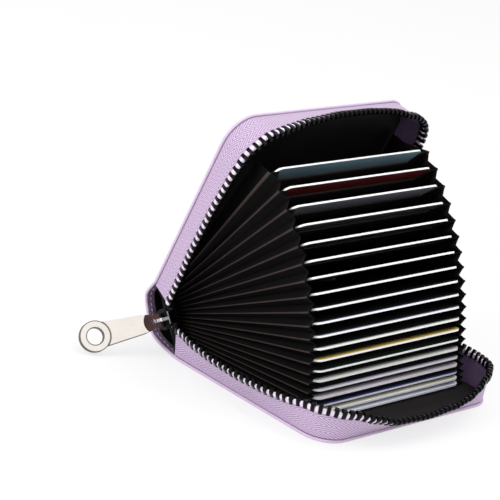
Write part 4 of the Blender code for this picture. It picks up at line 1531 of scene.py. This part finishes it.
def puller_finish():
    """Pale brushed faces, with painted shade on the sides and in dark lines round the ring and along the blade, and a
    painted dark reflection in the hollow at the neck.
    """
    base = colour("nickel")
    # The colour of the painted shade on the sides and at the edges.
    dark = linear((0.20, 0.17, 0.17))
    made = Finish("brushed_nickel", base, 0.36, metallic=1.0)
    along, aside = from_pin(made, PULLER_WAY, SPINE.w)
    facing = made.dot(made.place("Normal"), PULLER_FACE).size()
    lines = made.add("ShaderNodeCombineXYZ", None, {0: along * 0.06, 1: aside, 2: 0.0}).outputs[0]
    brushed = made.noise(0.22 * MM, 3.0, vector=lines)
    cloud = made.noise(4 * MM, 2.0)
    face = made.mix(brushed * 0.6 + cloud * 0.4, shade(base, 0.78), shade(base, 1.10))
    neck = length_of(along - HOLLOW_CENTRE, aside)
    hollow = neck.fall(HOLLOW_RADIUS - 0.12 * MM, HOLLOW_RADIUS + 0.05 * MM)
    ring = length_of(along - RING_CENTRE, aside)
    # Painted shade: dark lines at the step outside the ring, along the ring's edge, round its hole and along the
    # blade's lower edge.
    corner = ring.band(RING_RADIUS - 0.12 * MM, RING_RADIUS, RING_RADIUS + 0.2 * MM, RING_RADIUS + 0.45 * MM)
    rim = ring.band(RING_RADIUS - 0.40 * MM, RING_RADIUS - 0.30 * MM, RING_RADIUS, RING_RADIUS + 0.05 * MM)
    hole = ring.fall(HOLE_RADIUS + 0.3 * MM, HOLE_RADIUS + 0.4 * MM)
    below = (aside * -1 - along * BLADE_TAPER).ramp(BLADE_HALF, BLADE_HALF + 0.1 * MM)
    below = below * (1 - corner) * ring.ramp(RING_RADIUS, RING_RADIUS + 0.1 * MM)
    face = made.mix((corner + rim + hole + below).ramp(0.0, 1.0) * 0.85, face, dark)
    # Painted reflection: the hollow at the neck is dark brownish, as a curved polished surface that mirrors its dark
    # surroundings.
    neck_painted_reflection = made.mix(cloud, linear((0.16, 0.11, 0.11)), linear((0.30, 0.22, 0.21)))
    # Painted shade on the sides, which face away from the puller's face.
    made.set("Base Color", made.mix(facing.ramp(0.55, 0.90), dark, made.mix(hollow, face, neck_painted_reflection)))
    made.set("Roughness", 0.30 + brushed * 0.14)
    made.bump(brushed, 0.01 * MM, 0.6)
    return made.material


def slider_finish():
    """Near-black plating on the body, with painted highlights on the bridge that holds the puller."""
    made = Finish("black_nickel", linear((0.14, 0.13, 0.14)), 0.26, metallic=1.0)
    inward, aside, outward = (way / MM for way in from_pin(made, SPINE.u, SPINE.w, (0.0, 1.0, 0.0)))
    aside = aside.size()
    reach = length_of(inward, outward)
    bail = aside.fall(BAIL_HALF, BAIL_HALF + 0.06) * reach.fall(BAIL_REACH, BAIL_REACH + 0.2)
    plate = outward.band(PLATE_LOW, PLATE_LOW + 0.05, PLATE_HIGH, PLATE_HIGH + 0.05)
    post = inward.ramp(POST_START, POST_START + 0.1) * aside.fall(POST_HALF, POST_HALF + 0.2)
    bar = inward.ramp(BAR_START, BAR_START + 0.1) * aside.fall(BAR_HALF, BAR_HALF + 0.1)
    arc = (aside * ARC_SLOPE - inward).ramp(ARC_START, ARC_START + 0.1)
    # Painted highlights: the bail, and on the plate the post, the bar and the curved edge, take a bright metal colour
    # where they catch the light.
    bridge = (bail + plate * (post + bar + arc)).ramp(0.0, 1.0)
    cloud = made.noise(2 * MM, 3.0)
    body = made.mix(cloud, linear((0.10, 0.095, 0.10)), linear((0.22, 0.21, 0.22)))
    bright = made.mix(cloud, linear((0.66, 0.65, 0.67)), linear((0.86, 0.86, 0.88)))
    made.set("Base Color", made.mix(bridge, body, bright))
    made.set("Roughness", 0.22 + cloud * 0.12)
    made.bump(made.noise(0.3 * MM, 3.0), 0.01 * MM, 0.4)
    return made.material


class WALLET_OT_slider(bpy.types.Operator):
    """Gives the slider its dark plating and the puller its brushed face."""

    bl_idname = "wallet.slider"
    bl_label = "Slider and puller"

    def execute(self, context):
        # Painted highlight: the slider's bevelled edges take a bright metal, standing in for the light they reflect;
        # the puller's bevels keep its own finish.
        rim = metal_finish("bright_rim", linear((0.80, 0.79, 0.80)), 0.2)
        for name, finishes, width in (("zip_slider", (slider_finish(), rim), 0.24 * MM),
                                      ("zip_puller", (puller_finish(),), 0.06 * MM)):
            node = frame["nodes"][name]
            node.data.materials.clear()
            for finish in finishes:
                node.data.materials.append(finish)
            ease_edges(node, width, 40).material = len(finishes) - 1
        return {"FINISHED"}


class WALLET_OT_stage(bpy.types.Operator):
    """Sets the floor, the studio lights and the camera."""

    bl_idname = "wallet.stage"
    bl_label = "Stage"

    def execute(self, context):
        self.floor()
        self.lights()
        self.camera()
        context.scene.view_settings.view_transform = "Standard"
        return {"FINISHED"}

    def floor(self):
        """A paper floor that glows white to the camera and still shows the shadow."""
        built = bmesh.new()
        bmesh.ops.create_circle(built, cap_ends=True, segments=64, radius=3.0)
        made = Finish("studio_floor", (0.86, 0.86, 0.86), 0.9)
        paper = made.noise(40 * MM, 2.0)
        made.set("Base Color", made.mix(paper, (0.85, 0.85, 0.85), (0.88, 0.88, 0.88)))
        glow = made.add("ShaderNodeEmission", None, {"Color": (1, 1, 1, 1), "Strength": 1.0})
        path = made.add("ShaderNodeLightPath")
        seen = Term(made, path.outputs["Is Camera Ray"]) + Term(made, path.outputs["Is Glossy Ray"])
        seen = seen + Term(made, path.outputs["Is Transmission Ray"])
        both = made.add("ShaderNodeMixShader", None,
                        {0: seen.ramp(0.0, 1.0) * FLOOR_GLOW, 1: made.shader.outputs[0], 2: glow.outputs[0]})
        made.join(made.tree.nodes["Material Output"].inputs["Surface"], both.outputs[0])
        floor = new_piece("studio_floor", built, made.material)
        floor.location.z = -FLOOR_DROP
        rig.stage(floor)

    def lights(self):
        """Soft lamps, and a world that is white only to the camera."""
        world = bpy.context.scene.world or bpy.data.worlds.new("studio")
        bpy.context.scene.world = world
        world.use_nodes = True
        studio = Nodes(world.node_tree)
        back = studio.tree.nodes["Background"]
        studio.join(back.inputs["Color"], (1, 1, 1, 1))
        studio.join(back.inputs["Strength"], WORLD_STRENGTH)
        bright = studio.add("ShaderNodeBackground", None, {"Color": (1, 1, 1, 1), "Strength": 1.0})
        path = studio.add("ShaderNodeLightPath")
        mixed = studio.add("ShaderNodeMixShader", None,
                           {0: path.outputs["Is Camera Ray"], 1: back.outputs[0], 2: bright.outputs[0]})
        studio.join(studio.tree.nodes["World Output"].inputs["Surface"], mixed.outputs[0])
        for name, place, size, power in LAMPS:
            lamp = bpy.data.lights.new(name, "AREA")
            lamp.shape = "SQUARE"
            lamp.size = size
            lamp.energy = power
            made = bpy.data.objects.new(name, lamp)
            bpy.context.scene.collection.objects.link(made)
            made.location = place
            made.rotation_euler = (LAMP_AIM - Vector(place)).to_track_quat("-Z", "Y").to_euler()

    def camera(self):
        """The camera fitted to the corners of the cards and covers in the photo."""
        data = bpy.data.cameras.new("photo_camera")
        data.sensor_width = 36.0
        data.lens = CAMERA_LENS
        data.clip_start = 0.05
        data.clip_end = 20.0
        made = bpy.data.objects.new("photo_camera", data)
        bpy.context.scene.collection.objects.link(made)
        way = Vector(CAMERA_WAY).normalized()
        up = Vector(CAMERA_UP)
        up = (up - way * up.dot(way)).normalized()
        turn = Matrix((way.cross(up), up, -way)).transposed().to_4x4()
        made.matrix_world = Matrix.Translation(CAMERA_PLACE) @ turn
        bpy.context.scene.camera = made


STEPS = (WALLET_OT_stage, WALLET_OT_leather, WALLET_OT_lining, WALLET_OT_tapes, WALLET_OT_teeth,
         WALLET_OT_tape_ends, WALLET_OT_pockets, WALLET_OT_cards, WALLET_OT_slider)


class WALLET_PT_looks(bpy.types.Panel):
    """Lists the wallet's pieces and their sizes and colours."""

    bl_label = "Zip card wallet"
    bl_space_type = "VIEW_3D"
    bl_region_type = "UI"
    bl_category = "Wallet"

    def draw(self, context):
        for step in STEPS:
            self.layout.operator(step.bl_idname)
        for group in (context.scene.wallet_sizes, context.scene.wallet_colours):
            for name in group.bl_rna.properties.keys():
                if name not in ("rna_type", "name"):
                    self.layout.prop(group, name)


CLASSES = (WalletSizes, WalletColours, *STEPS, WALLET_PT_looks)


def register():
    for item in CLASSES:
        bpy.utils.register_class(item)
    bpy.types.Scene.wallet_sizes = bpy.props.PointerProperty(type=WalletSizes)
    bpy.types.Scene.wallet_colours = bpy.props.PointerProperty(type=WalletColours)


def unregister():
    del bpy.types.Scene.wallet_colours
    del bpy.types.Scene.wallet_sizes
    for item in reversed(CLASSES):
        bpy.utils.unregister_class(item)


def main():
    register()
    for step in STEPS:
        group, name = step.bl_idname.split(".")
        getattr(getattr(bpy.ops, group), name)()
    boxes = {"cad": [list(corner) for corner in CAD_BOX], "visual": [list(corner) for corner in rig.bounds()]}
    with open("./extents.json", "w") as out:
        json.dump(boxes, out)


if __name__ == "__main__":
    main()
